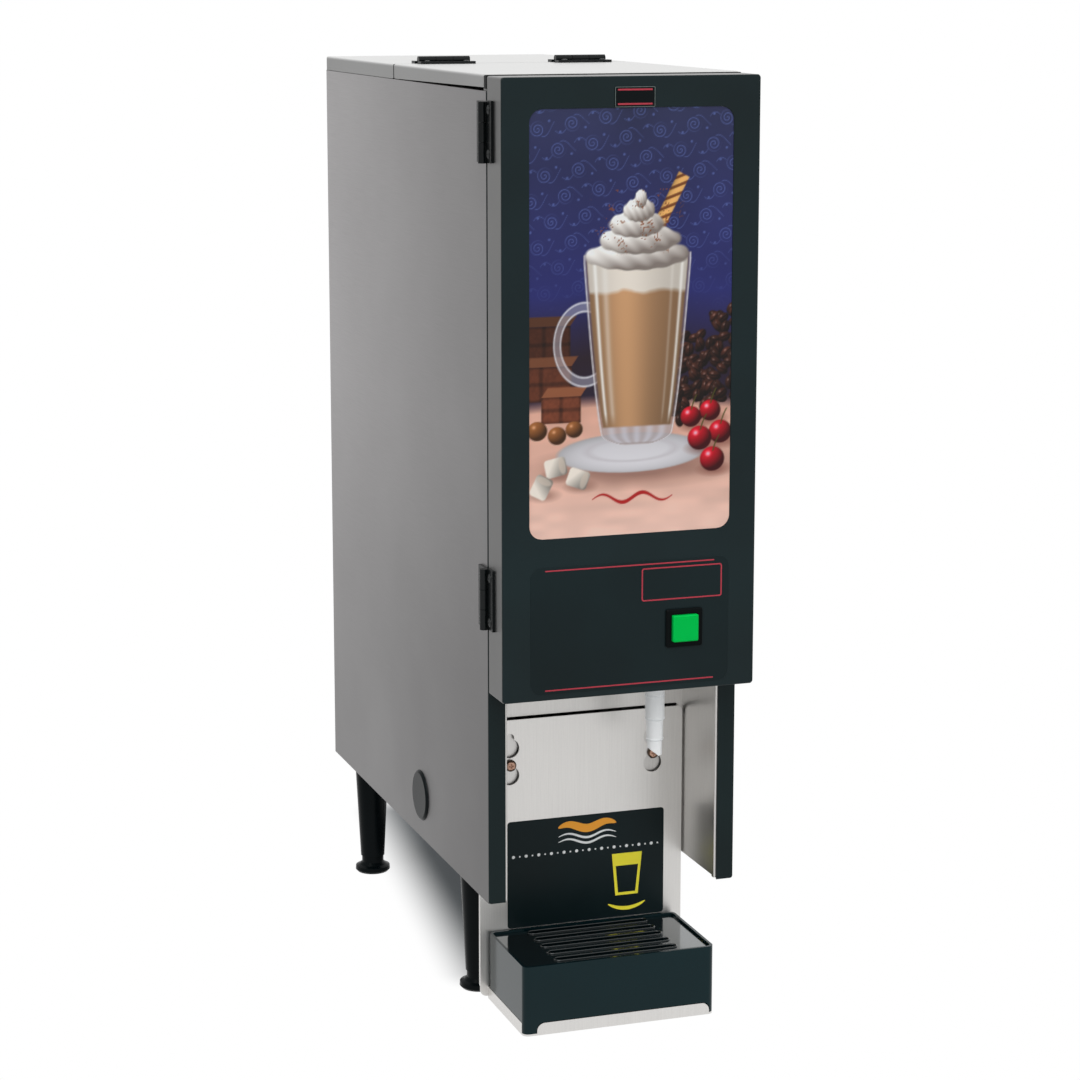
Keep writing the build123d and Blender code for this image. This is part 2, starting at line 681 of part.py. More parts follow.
def hinge_leaf(reach_from, reach_to, plate_low, plate_high, knuckles):
    """One leaf: a plate on the sheet and the barrel lengths that belong to it."""
    with BuildSketch(beside(-HALF_WIDTH)) as plate:
        block(*sorted((reach_from, reach_to)), plate_low, plate_high)
    extrude(plate.sketch, amount=-LEAF_PLATE)
    for knuckle_low, knuckle_high in knuckles:
        with BuildSketch(level(knuckle_low)) as knuckle:
            with Locations((HINGE_AXIS_X, HINGE_AXIS_Y)):
                Circle(HINGE_BARREL_RADIUS)
        extrude(knuckle.sketch, amount=knuckle_high - knuckle_low)
        with BuildSketch(beside(-HALF_WIDTH - 0.3)) as web:
            block(*sorted((HINGE_AXIS_Y, reach_from)), knuckle_low, knuckle_high)
        extrude(web.sketch, amount=0.3 - LEAF_PLATE)


def bore_hinge(spans, radius):
    """Pin hole down the barrel."""
    for span_low, span_high in spans:
        with BuildSketch(level(span_low)) as hole:
            with Locations((HINGE_AXIS_X, HINGE_AXIS_Y)):
                Circle(radius)
        extrude(hole.sketch, amount=span_high - span_low, mode=Mode.SUBTRACT)


with BuildPart() as door_hinge_frame_leaves:
    for low, high in DOOR_HINGE_SPANS:
        third = (high - low) / 3
        outer_knuckles = ((low, low + third), (high - third, high))
        hinge_leaf(4, 16.5, low, high, outer_knuckles)
    bore_hinge(DOOR_HINGE_SPANS, HINGE_PIN_RADIUS)
finish(door_hinge_frame_leaves, "door_hinge_frame_leaves")

with BuildPart() as door_hinge_door_leaves:
    for low, high in DOOR_HINGE_SPANS:
        third = (high - low) / 3
        middle_knuckle = ((low + third + KNUCKLE_GAP, high - third - KNUCKLE_GAP),)
        hinge_leaf(-6, -16.5, low + 1, high + 1, middle_knuckle)
    bore_hinge(DOOR_HINGE_SPANS, HINGE_PIN_RADIUS + PIN_CLEARANCE)
finish(door_hinge_door_leaves, "door_hinge_door_leaves")

MAGNET_X = 91.2
MAGNET_Z = 491.0
with BuildPart() as door_magnet:
    with BuildSketch(facing(0)):
        with Locations((MAGNET_X, MAGNET_Z)):
            RectangleRounded(9.6, 42, 1)
    extrude(amount=-DOOR_BACK - 0.2)
finish(door_magnet, "door_magnet")

# ---- top lid ----
LID_FRONT = 6.4
LID_FRONT_EDGE = 705.2
LID_REAR_EDGE = WALL_TOP + 0.5
with BuildPart() as lid:
    with BuildSketch(level(CABINET_TOP)):
        block(-HALF_WIDTH, HALF_WIDTH, LID_FRONT, LID_SEAM - SEAM_GAP / 2)
    extrude(amount=-(CABINET_TOP - LID_REAR_EDGE))
    fillet(lid.edges().group_by(Axis.Z)[-1].filter_by(Axis.Y), 1.6)
    fillet(lid.edges().filter_by(Axis.X).group_by(Axis.Z)[-1].sort_by(Axis.Y)[0], 1.6)
    lid_back = lid.faces().sort_by(Axis.Y)[-1]
    lid_under = lid.faces().sort_by(Axis.Z)[0]
    offset(amount=-SHEET, openings=[lid_under, lid_back])
    with BuildSketch(beside(-HALF_WIDTH)):
        Polygon(
            (LID_FRONT, LID_REAR_EDGE),
            (LID_FRONT, LID_FRONT_EDGE),
            (LID_SEAM, LID_REAR_EDGE),
            align=None,
        )
    extrude(amount=CABINET_WIDTH, mode=Mode.SUBTRACT)
    rear_edges = lid.edges().filter_by(Axis.X).group_by(Axis.Y)[-1]
    fillet(rear_edges.group_by(Axis.Z)[0], SEAM_CORNER)
finish(lid, "lid")

LID_UNDERSIDE = CABINET_TOP - SHEET
BUMPER_X = 91.0
BUMPER_Y = 14.0
with BuildPart() as lid_bumpers:
    with BuildSketch(level(WALL_TOP)):
        with Locations((-BUMPER_X, BUMPER_Y), (BUMPER_X, BUMPER_Y)):
            Circle(4.2)
    extrude(amount=LID_UNDERSIDE - WALL_TOP)
finish(lid_bumpers, "lid_bumpers")

LID_HINGE_Z = CABINET_TOP + LID_HINGE_RADIUS
LID_HINGE_PLATE = 2.0
LID_HINGE_HALF = 22.5
LID_LEAF_REACH = 13.0
LID_BARREL_HALF = 21.0
LID_KNUCKLE_SPLIT = 7.2
LID_PIN_RADIUS = 1.2


def lid_hinge_plate(reach_from, reach_to, middle):
    """Flat leaf lying on the top sheet."""
    with BuildSketch(level(CABINET_TOP)) as leaf:
        block(middle - LID_HINGE_HALF, middle + LID_HINGE_HALF, reach_from, reach_to)
    extrude(leaf.sketch, amount=LID_HINGE_PLATE)


def lid_hinge_knuckle(low, high, root_from, root_to):
    """Barrel length, and the web that carries it."""
    with BuildSketch(beside(low)) as knuckle:
        with Locations((LID_SEAM, LID_HINGE_Z)):
            Circle(LID_HINGE_RADIUS)
        block(root_from, root_to, CABINET_TOP, CABINET_TOP + LID_HINGE_PLATE)
    extrude(knuckle.sketch, amount=high - low)


def lid_hinge_bore(radius):
    """Pin hole along both barrels."""
    with BuildSketch(beside(-HALF_WIDTH)) as hole:
        with Locations((LID_SEAM, LID_HINGE_Z)):
            Circle(radius)
    extrude(hole.sketch, amount=CABINET_WIDTH, mode=Mode.SUBTRACT)


with BuildPart() as lid_hinge_rear_leaves:
    for hinge_x in (-LID_HINGE_X, LID_HINGE_X):
        lid_hinge_plate(LID_SEAM + 4, LID_SEAM + LID_LEAF_REACH, hinge_x)
        left_end = hinge_x - LID_BARREL_HALF
        right_end = hinge_x + LID_BARREL_HALF
        left_split = hinge_x - LID_KNUCKLE_SPLIT
        right_split = hinge_x + LID_KNUCKLE_SPLIT
        lid_hinge_knuckle(left_end, left_split, LID_SEAM, LID_SEAM + 5)
        lid_hinge_knuckle(right_split, right_end, LID_SEAM, LID_SEAM + 5)
    lid_hinge_bore(LID_PIN_RADIUS)
finish(lid_hinge_rear_leaves, "lid_hinge_rear_leaves")

with BuildPart() as lid_hinge_front_leaves:
    for hinge_x in (-LID_HINGE_X, LID_HINGE_X):
        lid_hinge_plate(LID_SEAM - LID_LEAF_REACH, LID_SEAM - 4, hinge_x)
        half_knuckle = LID_KNUCKLE_SPLIT - KNUCKLE_GAP
        lid_hinge_knuckle(
            hinge_x - half_knuckle, hinge_x + half_knuckle, LID_SEAM - 5, LID_SEAM
        )
    lid_hinge_bore(LID_PIN_RADIUS + PIN_CLEARANCE)
finish(lid_hinge_front_leaves, "lid_hinge_front_leaves")

with BuildPart() as hinge_pins:
    for low, high in DOOR_HINGE_SPANS:
        with BuildSketch(level(low)):
            with Locations((HINGE_AXIS_X, HINGE_AXIS_Y)):
                Circle(HINGE_PIN_RADIUS)
        extrude(amount=high - low)
    for hinge_x in (-LID_HINGE_X, LID_HINGE_X):
        with BuildSketch(beside(hinge_x - LID_BARREL_HALF)):
            with Locations((LID_SEAM, LID_HINGE_Z)):
                Circle(LID_PIN_RADIUS)
        extrude(amount=2 * LID_BARREL_HALF)
finish(hinge_pins, "hinge_pins")

# ---- powder hopper, auger and its drive ----
TROUGH_WALL = 2.2
HOPPER_SHOULDER = 545.0
OUTLET_LENGTH = 9.0
JOURNAL_RADIUS = 6.0


def hopper_outline(half_width, trough_radius, top):
    """Front outline: upright walls that slope in to a round-bottomed trough."""
    with BuildLine() as outline:
        Polyline(
            (-trough_radius, AUGER_Z),
            (-trough_radius, AUGER_Z + 10),
            (-half_width, HOPPER_SHOULDER),
            (-half_width, top),
            (half_width, top),
            (half_width, HOPPER_SHOULDER),
            (trough_radius, AUGER_Z + 10),
            (trough_radius, AUGER_Z),
        )
        ThreePointArc(
            (trough_radius, AUGER_Z),
            (0, AUGER_Z - trough_radius),
            (-trough_radius, AUGER_Z),
        )
    make_face(outline.edges())


with BuildPart() as hopper:
    with BuildSketch(facing(HOPPER_BACK)):
        hopper_outline(HOPPER_HALF_WIDTH, TROUGH_RADIUS, HOPPER_TOP)
    extrude(amount=HOPPER_BACK - HOPPER_FRONT)
    fillet(hopper.edges().filter_by(Axis.Z).group_by(Axis.Z)[-1], 8)
    with BuildSketch(level(DECK_LEVEL + SHEET)):
        block(-TROUGH_RADIUS, TROUGH_RADIUS, HOPPER_FRONT + 12, HOPPER_BACK - 10)
    extrude(amount=AUGER_Z - DECK_LEVEL - SHEET)
    with BuildSketch(facing(HOPPER_BACK - TROUGH_WALL)):
        hopper_outline(
            HOPPER_HALF_WIDTH - TROUGH_WALL,
            TROUGH_RADIUS - TROUGH_WALL,
            HOPPER_TOP + 5,
        )
    extrude(amount=HOPPER_BACK - HOPPER_FRONT - 2 * TROUGH_WALL, mode=Mode.SUBTRACT)
    with BuildSketch(facing(HOPPER_FRONT)):
        with Locations((0, AUGER_Z)):
            Circle(TROUGH_RADIUS)
    extrude(amount=OUTLET_LENGTH)
    with BuildSketch(facing(HOPPER_FRONT + TROUGH_WALL)):
        with Locations((0, AUGER_Z)):
            Circle(TROUGH_RADIUS - TROUGH_WALL)
    extrude(amount=OUTLET_LENGTH + TROUGH_WALL, mode=Mode.SUBTRACT)
    with BuildSketch(facing(HOPPER_BACK)):
        with Locations((0, AUGER_Z)):
            Circle(JOURNAL_RADIUS + PIN_CLEARANCE)
    extrude(amount=TROUGH_WALL, mode=Mode.SUBTRACT)
finish(hopper, "hopper")

ELBOW_INNER = TROUGH_RADIUS + 0.1
ELBOW_OUTER = TROUGH_RADIUS + TROUGH_WALL
ELBOW_FRONT = 13.0
SPOUT_Y = 29.0
SPOUT_RADIUS = 15.5
SPOUT_BORE = 13.5
SPOUT_BOTTOM = 424.0
with BuildPart() as hopper_elbow:
    with BuildSketch(facing(HOPPER_FRONT)):
        with Locations((0, AUGER_Z)):
            Circle(ELBOW_OUTER)
    extrude(amount=HOPPER_FRONT - ELBOW_FRONT)
    fillet(hopper_elbow.edges().filter_by(GeomType.CIRCLE).sort_by(Axis.Y)[0], 5)
    with BuildSketch(level(SPOUT_BOTTOM)):
        with Locations((0, SPOUT_Y)):
            Circle(SPOUT_RADIUS)
    extrude(amount=AUGER_Z - SPOUT_BOTTOM)
    with BuildSketch(facing(HOPPER_FRONT)):
        with Locations((0, AUGER_Z)):
            Circle(ELBOW_INNER)
    extrude(amount=HOPPER_FRONT - ELBOW_FRONT - TROUGH_WALL, mode=Mode.SUBTRACT)
    with BuildSketch(level(SPOUT_BOTTOM)):
        with Locations((0, SPOUT_Y)):
            Circle(SPOUT_BORE)
    extrude(amount=AUGER_Z - SPOUT_BOTTOM, mode=Mode.SUBTRACT)
finish(hopper_elbow, "hopper_elbow")

AUGER_TURNS = 7
FLIGHT_RADIUS = 15.6
FLIGHT_WEB = 2.0
AUGER_CORE = 4.4
AUGER_FRONT = 24.0
FLIGHT_LENGTH = 190.0
with BuildPart() as auger:
    with BuildLine() as flight_line:
        Helix(
            pitch=FLIGHT_LENGTH / AUGER_TURNS,
            height=FLIGHT_LENGTH,
            radius=(FLIGHT_RADIUS + SHAFT_RADIUS) / 2,
            center=(MIDDLE_X, MIDDLE_Y + AUGER_FRONT + 2, AUGER_Z),
            direction=(0, 1, 0),
        )
    flight_start = flight_line.line @ 0
    outward = flight_start - Vector(MIDDLE_X, flight_start.Y, AUGER_Z)
    with BuildSketch(Plane(flight_start, x_dir=outward, z_dir=flight_line.line % 0)):
        Rectangle(FLIGHT_RADIUS - SHAFT_RADIUS, FLIGHT_WEB)
    sweep(path=flight_line.line, is_frenet=True)
    with BuildSketch(facing(HOPPER_BACK + 8)):
        with Locations((0, AUGER_Z)):
            Circle(AUGER_CORE)
    extrude(amount=HOPPER_BACK + 8 - AUGER_FRONT)
    with BuildSketch(facing(HOPPER_BACK + 4)):
        with Locations((0, AUGER_Z)):
            Circle(JOURNAL_RADIUS)
    extrude(amount=10)
finish(auger, "auger")

COUPLING_FRONT = HOPPER_BACK + 4.5
COUPLING_RADIUS = 10.5
COUPLING_LENGTH = 9.0
SOCKET_DEPTH = 4.0
GEARBOX_FRONT = PARTITION_DEPTH + SHEET
SHAFT_SEAT = 16.0
with BuildPart() as auger_coupling:
    with BuildSketch(facing(COUPLING_FRONT + COUPLING_LENGTH)):
        with Locations((0, AUGER_Z)):
            Circle(COUPLING_RADIUS)
    extrude(amount=COUPLING_LENGTH)
    with BuildSketch(facing(GEARBOX_FRONT + SHAFT_SEAT)):
        with Locations((0, AUGER_Z)):
            Circle(SHAFT_RADIUS)
    extrude(amount=GEARBOX_FRONT + SHAFT_SEAT - COUPLING_FRONT)
    with BuildSketch(facing(COUPLING_FRONT + SOCKET_DEPTH)):
        with Locations((0, AUGER_Z)):
            Circle(AUGER_CORE + 0.1)
    extrude(amount=SOCKET_DEPTH, mode=Mode.SUBTRACT)
finish(auger_coupling, "auger_coupling")

GEARBOX_DEPTH = 24.0
MOTOR_LENGTH = 28.0
with BuildPart() as auger_motor:
    with BuildSketch(facing(GEARBOX_FRONT + GEARBOX_DEPTH)):
        block(-24, 24, AUGER_Z - 20, AUGER_Z + 38, 6)
    extrude(amount=GEARBOX_DEPTH)
    with BuildSketch(facing(GEARBOX_FRONT + GEARBOX_DEPTH + MOTOR_LENGTH)):
        with Locations((0, AUGER_Z + 14)):
            Circle(21)
    extrude(amount=MOTOR_LENGTH)
    with BuildSketch(facing(GEARBOX_FRONT + SHAFT_SEAT)):
        with Locations((0, AUGER_Z)):
            Circle(SHAFT_RADIUS + PIN_CLEARANCE)
    extrude(amount=SHAFT_SEAT, mode=Mode.SUBTRACT)
    with BuildSketch(facing(GEARBOX_FRONT + SOCKET_DEPTH)):
        with Locations((0, AUGER_Z)):
            Circle(COUPLING_RADIUS + 0.7)
    extrude(amount=SOCKET_DEPTH, mode=Mode.SUBTRACT)
finish(auger_motor, "auger_motor")

# ---- mixing funnel, whipping chamber and nozzle ----
CHAMBER_FRONT = 8.0
CHAMBER_BACK = 48.0
CHAMBER_WALL = 2.2
NECK_Y = 30.0
NECK_RADIUS = 13.0
SOCKET_BOTTOM = 272.0
SPIGOT_BOTTOM = 262.0
SPIGOT_RADIUS = 5.4
SPIGOT_BORE = 4.0
FUNNEL_BOTTOM = 338.0
FUNNEL_TOP = 408.0
with BuildPart() as whipper_chamber:
    with BuildSketch(beside(WHIP_X)):
        with Locations((0, WHIP_Z)):
            Polygon(
                (CHAMBER_FRONT, 0),
                (CHAMBER_FRONT, 14),
                (CHAMBER_FRONT + 8, CHAMBER_RADIUS - 2),
                (CHAMBER_FRONT + 13, CHAMBER_RADIUS),
                (CHAMBER_BACK, CHAMBER_RADIUS),
                (CHAMBER_BACK, 15),
                (BAY_DEPTH, 15),
                (BAY_DEPTH, 0),
                align=None,
            )
    revolve(axis=lengthwise(WHIP_X, WHIP_Z))
    with BuildSketch(level(WHIP_Z)):
        with Locations((WHIP_X, NECK_Y)):
            Circle(NECK_RADIUS)
    extrude(amount=FUNNEL_BOTTOM + 8 - WHIP_Z)
    with BuildSketch(level(SOCKET_BOTTOM)):
        with Locations((NOZZLE_X, NOZZLE_Y)):
            Circle(SPIGOT_RADIUS + 2.8)
    extrude(amount=WHIP_Z - SOCKET_BOTTOM)
    with BuildSketch(level(SPIGOT_BOTTOM)):
        with Locations((NOZZLE_X, NOZZLE_Y)):
            Circle(SPIGOT_RADIUS)
    extrude(amount=SOCKET_BOTTOM - SPIGOT_BOTTOM)
    with BuildSketch(beside(WHIP_X)):
        with Locations((0, WHIP_Z)):
            Polygon(
                (CHAMBER_FRONT + CHAMBER_WALL, 0),
                (CHAMBER_FRONT + CHAMBER_WALL, 13),
                (CHAMBER_FRONT + 9, CHAMBER_RADIUS - CHAMBER_WALL - 2),
                (CHAMBER_FRONT + 13, CHAMBER_RADIUS - CHAMBER_WALL),
                (CHAMBER_BACK - CHAMBER_WALL, CHAMBER_RADIUS - CHAMBER_WALL),
                (CHAMBER_BACK - CHAMBER_WALL, 0),
                align=None,
            )
    revolve(axis=lengthwise(WHIP_X, WHIP_Z), mode=Mode.SUBTRACT)
    with BuildSketch(level(WHIP_Z)):
        with Locations((WHIP_X, NECK_Y)):
            Circle(NECK_RADIUS - CHAMBER_WALL)
    extrude(amount=FUNNEL_BOTTOM + 8 - WHIP_Z, mode=Mode.SUBTRACT)
    with BuildSketch(level(SPIGOT_BOTTOM)):
        with Locations((NOZZLE_X, NOZZLE_Y)):
            Circle(SPIGOT_BORE)
    extrude(amount=WHIP_Z - SPIGOT_BOTTOM, mode=Mode.SUBTRACT)
    with BuildSketch(facing(BAY_DEPTH)):
        with Locations((WHIP_X, WHIP_Z)):
            Circle(SHAFT_RADIUS + PIN_CLEARANCE)
    extrude(amount=BAY_DEPTH - CHAMBER_BACK + 5, mode=Mode.SUBTRACT)
finish(whipper_chamber, "whipper_chamber")

IMPELLER_Y = 36.0
IMPELLER_RADIUS = 19.0
BLADE_COUNT = 6
BLADE_DEPTH = 12.0
MOTOR_FRONT = BAY_DEPTH + SHEET
WHIP_SHAFT_BACK = MOTOR_FRONT + 20
with BuildPart() as whipper_impeller:
    with BuildSketch(facing(WHIP_SHAFT_BACK)):
        with Locations((WHIP_X, WHIP_Z)):
            Circle(SHAFT_RADIUS)
    extrude(amount=WHIP_SHAFT_BACK - IMPELLER_Y + BLADE_DEPTH + 6)
    with BuildSketch(facing(IMPELLER_Y)):
        with Locations((WHIP_X, WHIP_Z)):
            Circle(IMPELLER_RADIUS)
    extrude(amount=2)
    with BuildSketch(facing(IMPELLER_Y)):
        with Locations((WHIP_X, WHIP_Z)):
            Circle(2 * SHAFT_RADIUS)
            with PolarLocations(IMPELLER_RADIUS - 7.5, BLADE_COUNT):
                Rectangle(14, 1.6)
    extrude(amount=BLADE_DEPTH)
finish(whipper_impeller, "whipper_impeller")

WHIP_MOTOR_LENGTH = 70.0
with BuildPart() as whipper_motor:
    with BuildSketch(facing(MOTOR_FRONT + 4)):
        with Locations((WHIP_X, WHIP_Z)):
            RectangleRounded(58, 58, 10)
    extrude(amount=4)
    with BuildSketch(facing(MOTOR_FRONT + WHIP_MOTOR_LENGTH)):
        with Locations((WHIP_X, WHIP_Z)):
            Circle(26)
    extrude(amount=WHIP_MOTOR_LENGTH)
    chamfer(whipper_motor.edges().filter_by(GeomType.CIRCLE).sort_by(Axis.Y)[-1], 3)
    with BuildSketch(facing(WHIP_SHAFT_BACK)):
        with Locations((WHIP_X, WHIP_Z)):
            Circle(SHAFT_RADIUS + PIN_CLEARANCE)
    extrude(amount=WHIP_SHAFT_BACK - MOTOR_FRONT, mode=Mode.SUBTRACT)
finish(whipper_motor, "whipper_motor")

FUNNEL_X = 6.0
FUNNEL_LONG = 74.0
FUNNEL_WIDE = 52.0
FUNNEL_WALL = 2.0
RIM_DEPTH = 16.0
RIM_RADIUS = 18.0
NECK_LENGTH = 10.0
PORT_END = 62.0
PORT_LENGTH = 12.0


def funnel_body(length, width, corner, neck, mode=Mode.ADD):
    """Upright rim, a taper to the round neck beside its middle, and the neck."""
    with BuildSketch(level(FUNNEL_TOP - RIM_DEPTH)) as rim:
        with Locations((FUNNEL_X, NECK_Y)):
            RectangleRounded(length, width, corner)
    with BuildSketch(level(FUNNEL_BOTTOM + NECK_LENGTH)) as throat:
        with Locations((WHIP_X, NECK_Y)):
            Circle(neck)
    extrude(rim.sketch, amount=RIM_DEPTH, mode=mode)
    loft([rim.sketch, throat.sketch], mode=mode)
    extrude(throat.sketch, amount=-NECK_LENGTH, mode=mode)


with BuildPart() as mixing_funnel:
    funnel_body(FUNNEL_LONG, FUNNEL_WIDE, RIM_RADIUS, NECK_RADIUS + FUNNEL_WALL + 0.1)
    with BuildSketch(facing(PORT_END)) as port:
        with Locations((PORT_X, PORT_Z)):
            Circle(PORT_RADIUS)
    extrude(port.sketch, amount=PORT_LENGTH)
    funnel_body(
        FUNNEL_LONG - 2 * FUNNEL_WALL,
        FUNNEL_WIDE - 2 * FUNNEL_WALL,
        RIM_RADIUS - FUNNEL_WALL,
        NECK_RADIUS + 0.1,
        mode=Mode.SUBTRACT,
    )
    with BuildSketch(facing(PORT_END)) as port_hole:
        with Locations((PORT_X, PORT_Z)):
            Circle(PORT_RADIUS - FUNNEL_WALL)
    extrude(port_hole.sketch, amount=PORT_LENGTH, mode=Mode.SUBTRACT)
finish(mixing_funnel, "mixing_funnel")

DUCT_FRONT = 58.0
with BuildPart() as steam_collector:
    with BuildSketch(facing(BAY_DEPTH)):
        block(*DUCT, 4)
        with Locations(((DUCT[0] + DUCT[1]) / 2, (DUCT[2] + DUCT[3]) / 2)):
            RectangleRounded(
                DUCT[1] - DUCT[0] - 2 * DUCT_WALL,
                DUCT[3] - DUCT[2] - 2 * DUCT_WALL,
                2,
                mode=Mode.SUBTRACT,
            )
    extrude(amount=BAY_DEPTH - DUCT_FRONT)
finish(steam_collector, "steam_collector")

NOZZLE_BORE = 3.9
NOZZLE_STEPS = ((211.0, 5.8, 6.3), (227.0, 6.5, 7.3))
with BuildPart() as dispense_nozzle:
    with BuildSketch(beside(NOZZLE_X)):
        with Locations((NOZZLE_Y, 0)):
            Polygon(
                (NOZZLE_BORE, NOZZLE_TIP),
                (NOZZLE_STEPS[0][1] - 0.2, NOZZLE_TIP),
                (NOZZLE_STEPS[0][1], NOZZLE_STEPS[0][0]),
                (NOZZLE_STEPS[0][2], NOZZLE_STEPS[0][0] + 1),
                (NOZZLE_STEPS[1][1], NOZZLE_STEPS[1][0]),
                (NOZZLE_STEPS[1][2], NOZZLE_STEPS[1][0] + 1.5),
                (NOZZLE_STEPS[1][2] + 0.2, SOCKET_BOTTOM - 0.5),
                (SPIGOT_RADIUS + 0.1, SOCKET_BOTTOM - 0.5),
                (SPIGOT_RADIUS + 0.1, SPIGOT_BOTTOM),
                (NOZZLE_BORE, SPIGOT_BOTTOM),
                align=None,
            )
    revolve(axis=upright(NOZZLE_X, NOZZLE_Y))
    with BuildSketch(facing(NOZZLE_Y + 20)):
        Polygon(
            (NOZZLE_X - 10, NOZZLE_TIP - 5),
            (NOZZLE_X - 10, NOZZLE_TIP + 9.5),
            (NOZZLE_X + 1, NOZZLE_TIP),
            (NOZZLE_X + 1, NOZZLE_TIP - 5),
            align=None,
        )
    extrude(amount=40, mode=Mode.SUBTRACT)
finish(dispense_nozzle, "dispense_nozzle")

# ---- hot water side ----
DECK_TOP = DECK_LEVEL + SHEET
TANK_WALL = 1.5
TANK_CORNER = 16.0
TANK_FLANGE = 6.0
TANK_MIDDLE_Y = (TANK_FRONT + TANK_BACK) / 2


def tank_outline(reach, corner):
    """Rounded rectangle that stands out from the tank wall by the reach."""
    with Locations((0, TANK_MIDDLE_Y)):
        RectangleRounded(
            2 * (TANK_HALF_WIDTH + reach), TANK_BACK - TANK_FRONT + 2 * reach, corner
        )


with BuildPart() as water_tank:
    with BuildSketch(level(DECK_TOP)):
        tank_outline(0, TANK_CORNER)
    extrude(amount=TANK_TOP - DECK_TOP)
    with BuildSketch(level(TANK_TOP)):
        tank_outline(TANK_FLANGE, TANK_CORNER + 2)
    extrude(amount=-2)
    with BuildSketch(level(DECK_TOP + TANK_WALL)):
        tank_outline(-TANK_WALL, TANK_CORNER - TANK_WALL)
    extrude(amount=TANK_TOP - DECK_TOP, mode=Mode.SUBTRACT)
finish(water_tank, "water_tank")

ELEMENT_X = 30.0
ELEMENT_Y = 340.0
PROBE_Y = 385.0
LID_PLATE = 3.0
with BuildPart() as tank_lid:
    with BuildSketch(level(TANK_TOP)):
        tank_outline(TANK_FLANGE, TANK_CORNER + 2)
    extrude(amount=LID_PLATE)
    with BuildSketch(level(TANK_TOP + LID_PLATE)):
        with Locations((-ELEMENT_X, ELEMENT_Y), (ELEMENT_X, ELEMENT_Y)):
            Circle(9)
        with Locations((0, PROBE_Y)):
            Circle(6)
    extrude(amount=12)
finish(tank_lid, "tank_lid")

ELEMENT_BEND = 24.0
with BuildPart() as heating_element:
    with BuildLine(facing(ELEMENT_Y)) as element_line:
        FilletPolyline(
            (-ELEMENT_X, TANK_TOP),
            (-ELEMENT_X, DECK_TOP + 20),
            (ELEMENT_X, DECK_TOP + 20),
            (ELEMENT_X, TANK_TOP),
            radius=ELEMENT_BEND,
        )
    with BuildSketch(Plane(element_line.line @ 0, z_dir=element_line.line % 0)):
        Circle(4)
    sweep(path=element_line.line)
finish(heating_element, "heating_element")

VALVE_PORT_Z = 462.0
VALVE_BODY = 34.0
TUBE_TOP = DECK_TOP - 12
with BuildPart() as dispense_valve:
    with BuildSketch(facing(TANK_FRONT)):
        with Locations((VALVE_X, VALVE_PORT_Z)):
            Circle(7)
    extrude(amount=TANK_FRONT - VALVE_Y)
    with BuildSketch(level(TUBE_TOP)):
        with Locations((VALVE_X, VALVE_Y)):
            Circle(5)
    extrude(amount=VALVE_BODY)
    with BuildSketch(level(DECK_TOP)):
        with Locations((VALVE_X, VALVE_Y)):
            RectangleRounded(22, 22, 4)
    extrude(amount=VALVE_BODY)
    with BuildSketch(level(DECK_TOP + VALVE_BODY)):
        with Locations((VALVE_X, VALVE_Y)):
            RectangleRounded(27, 30, 5)
    extrude(amount=VALVE_BODY)
finish(dispense_valve, "dispense_valve")

TUBE_BEND_Y = 130.0
TUBE_RADIUS = 5.0
TUBE_BORE = 3.2
with BuildPart() as water_tube:
    with BuildLine() as tube_line:
        FilletPolyline(
            (MIDDLE_X + VALVE_X, MIDDLE_Y + VALVE_Y, TUBE_TOP),
            (MIDDLE_X + VALVE_X, MIDDLE_Y + VALVE_Y, PORT_Z),
            (MIDDLE_X + PORT_X, MIDDLE_Y + TUBE_BEND_Y, PORT_Z),
            (MIDDLE_X + PORT_X, MIDDLE_Y + PORT_END, PORT_Z),
            radius=18,
        )
    with BuildSketch(Plane(tube_line.line @ 0, z_dir=tube_line.line % 0)):
        Circle(TUBE_RADIUS)
        Circle(TUBE_BORE, mode=Mode.SUBTRACT)
    sweep(path=tube_line.line)
finish(water_tube, "water_tube")

INLET_THREAD = 5.55
NUT_DEPTH = 5.0
STUB_DEPTH = 14.0
with BuildPart() as inlet_valve:
    with BuildSketch(facing(CABINET_DEPTH + FITTING_REACH)):
        with Locations((INLET_X, INLET_Z)):
            Circle(INLET_THREAD)
    extrude(amount=FITTING_REACH - NUT_DEPTH)
    with BuildSketch(facing(CABINET_DEPTH + NUT_DEPTH)):
        with Locations((INLET_X, INLET_Z)):
            RegularPolygon(11, 6)
    extrude(amount=NUT_DEPTH)
    with BuildSketch(facing(CABINET_DEPTH)):
        with Locations((INLET_X, INLET_Z)):
            Circle(ENTRY_RADIUS - 0.1)
    extrude(amount=STUB_DEPTH)
    with BuildSketch(facing(CABINET_DEPTH - STUB_DEPTH)):
        with Locations((INLET_X, INLET_Z)):
            Circle(11)
    extrude(amount=STUB_DEPTH + 2)
    with BuildSketch(facing(CABINET_DEPTH - STUB_DEPTH - 12)):
        with Locations((INLET_X, INLET_Z)):
            RectangleRounded(26, 34, 4)
    extrude(amount=24)
    with BuildSketch(level(UNDERSIDE + 2 * SHEET)):
        with Locations((INLET_X, CABINET_DEPTH - STUB_DEPTH - 24)):
            RectangleRounded(22, 20, 3)
    extrude(amount=30)
    with BuildSketch(facing(CABINET_DEPTH + FITTING_REACH)):
        with Locations((INLET_X, INLET_Z)):
            Circle(3)
    extrude(amount=FITTING_REACH + STUB_DEPTH, mode=Mode.SUBTRACT)
finish(inlet_valve, "inlet_valve")

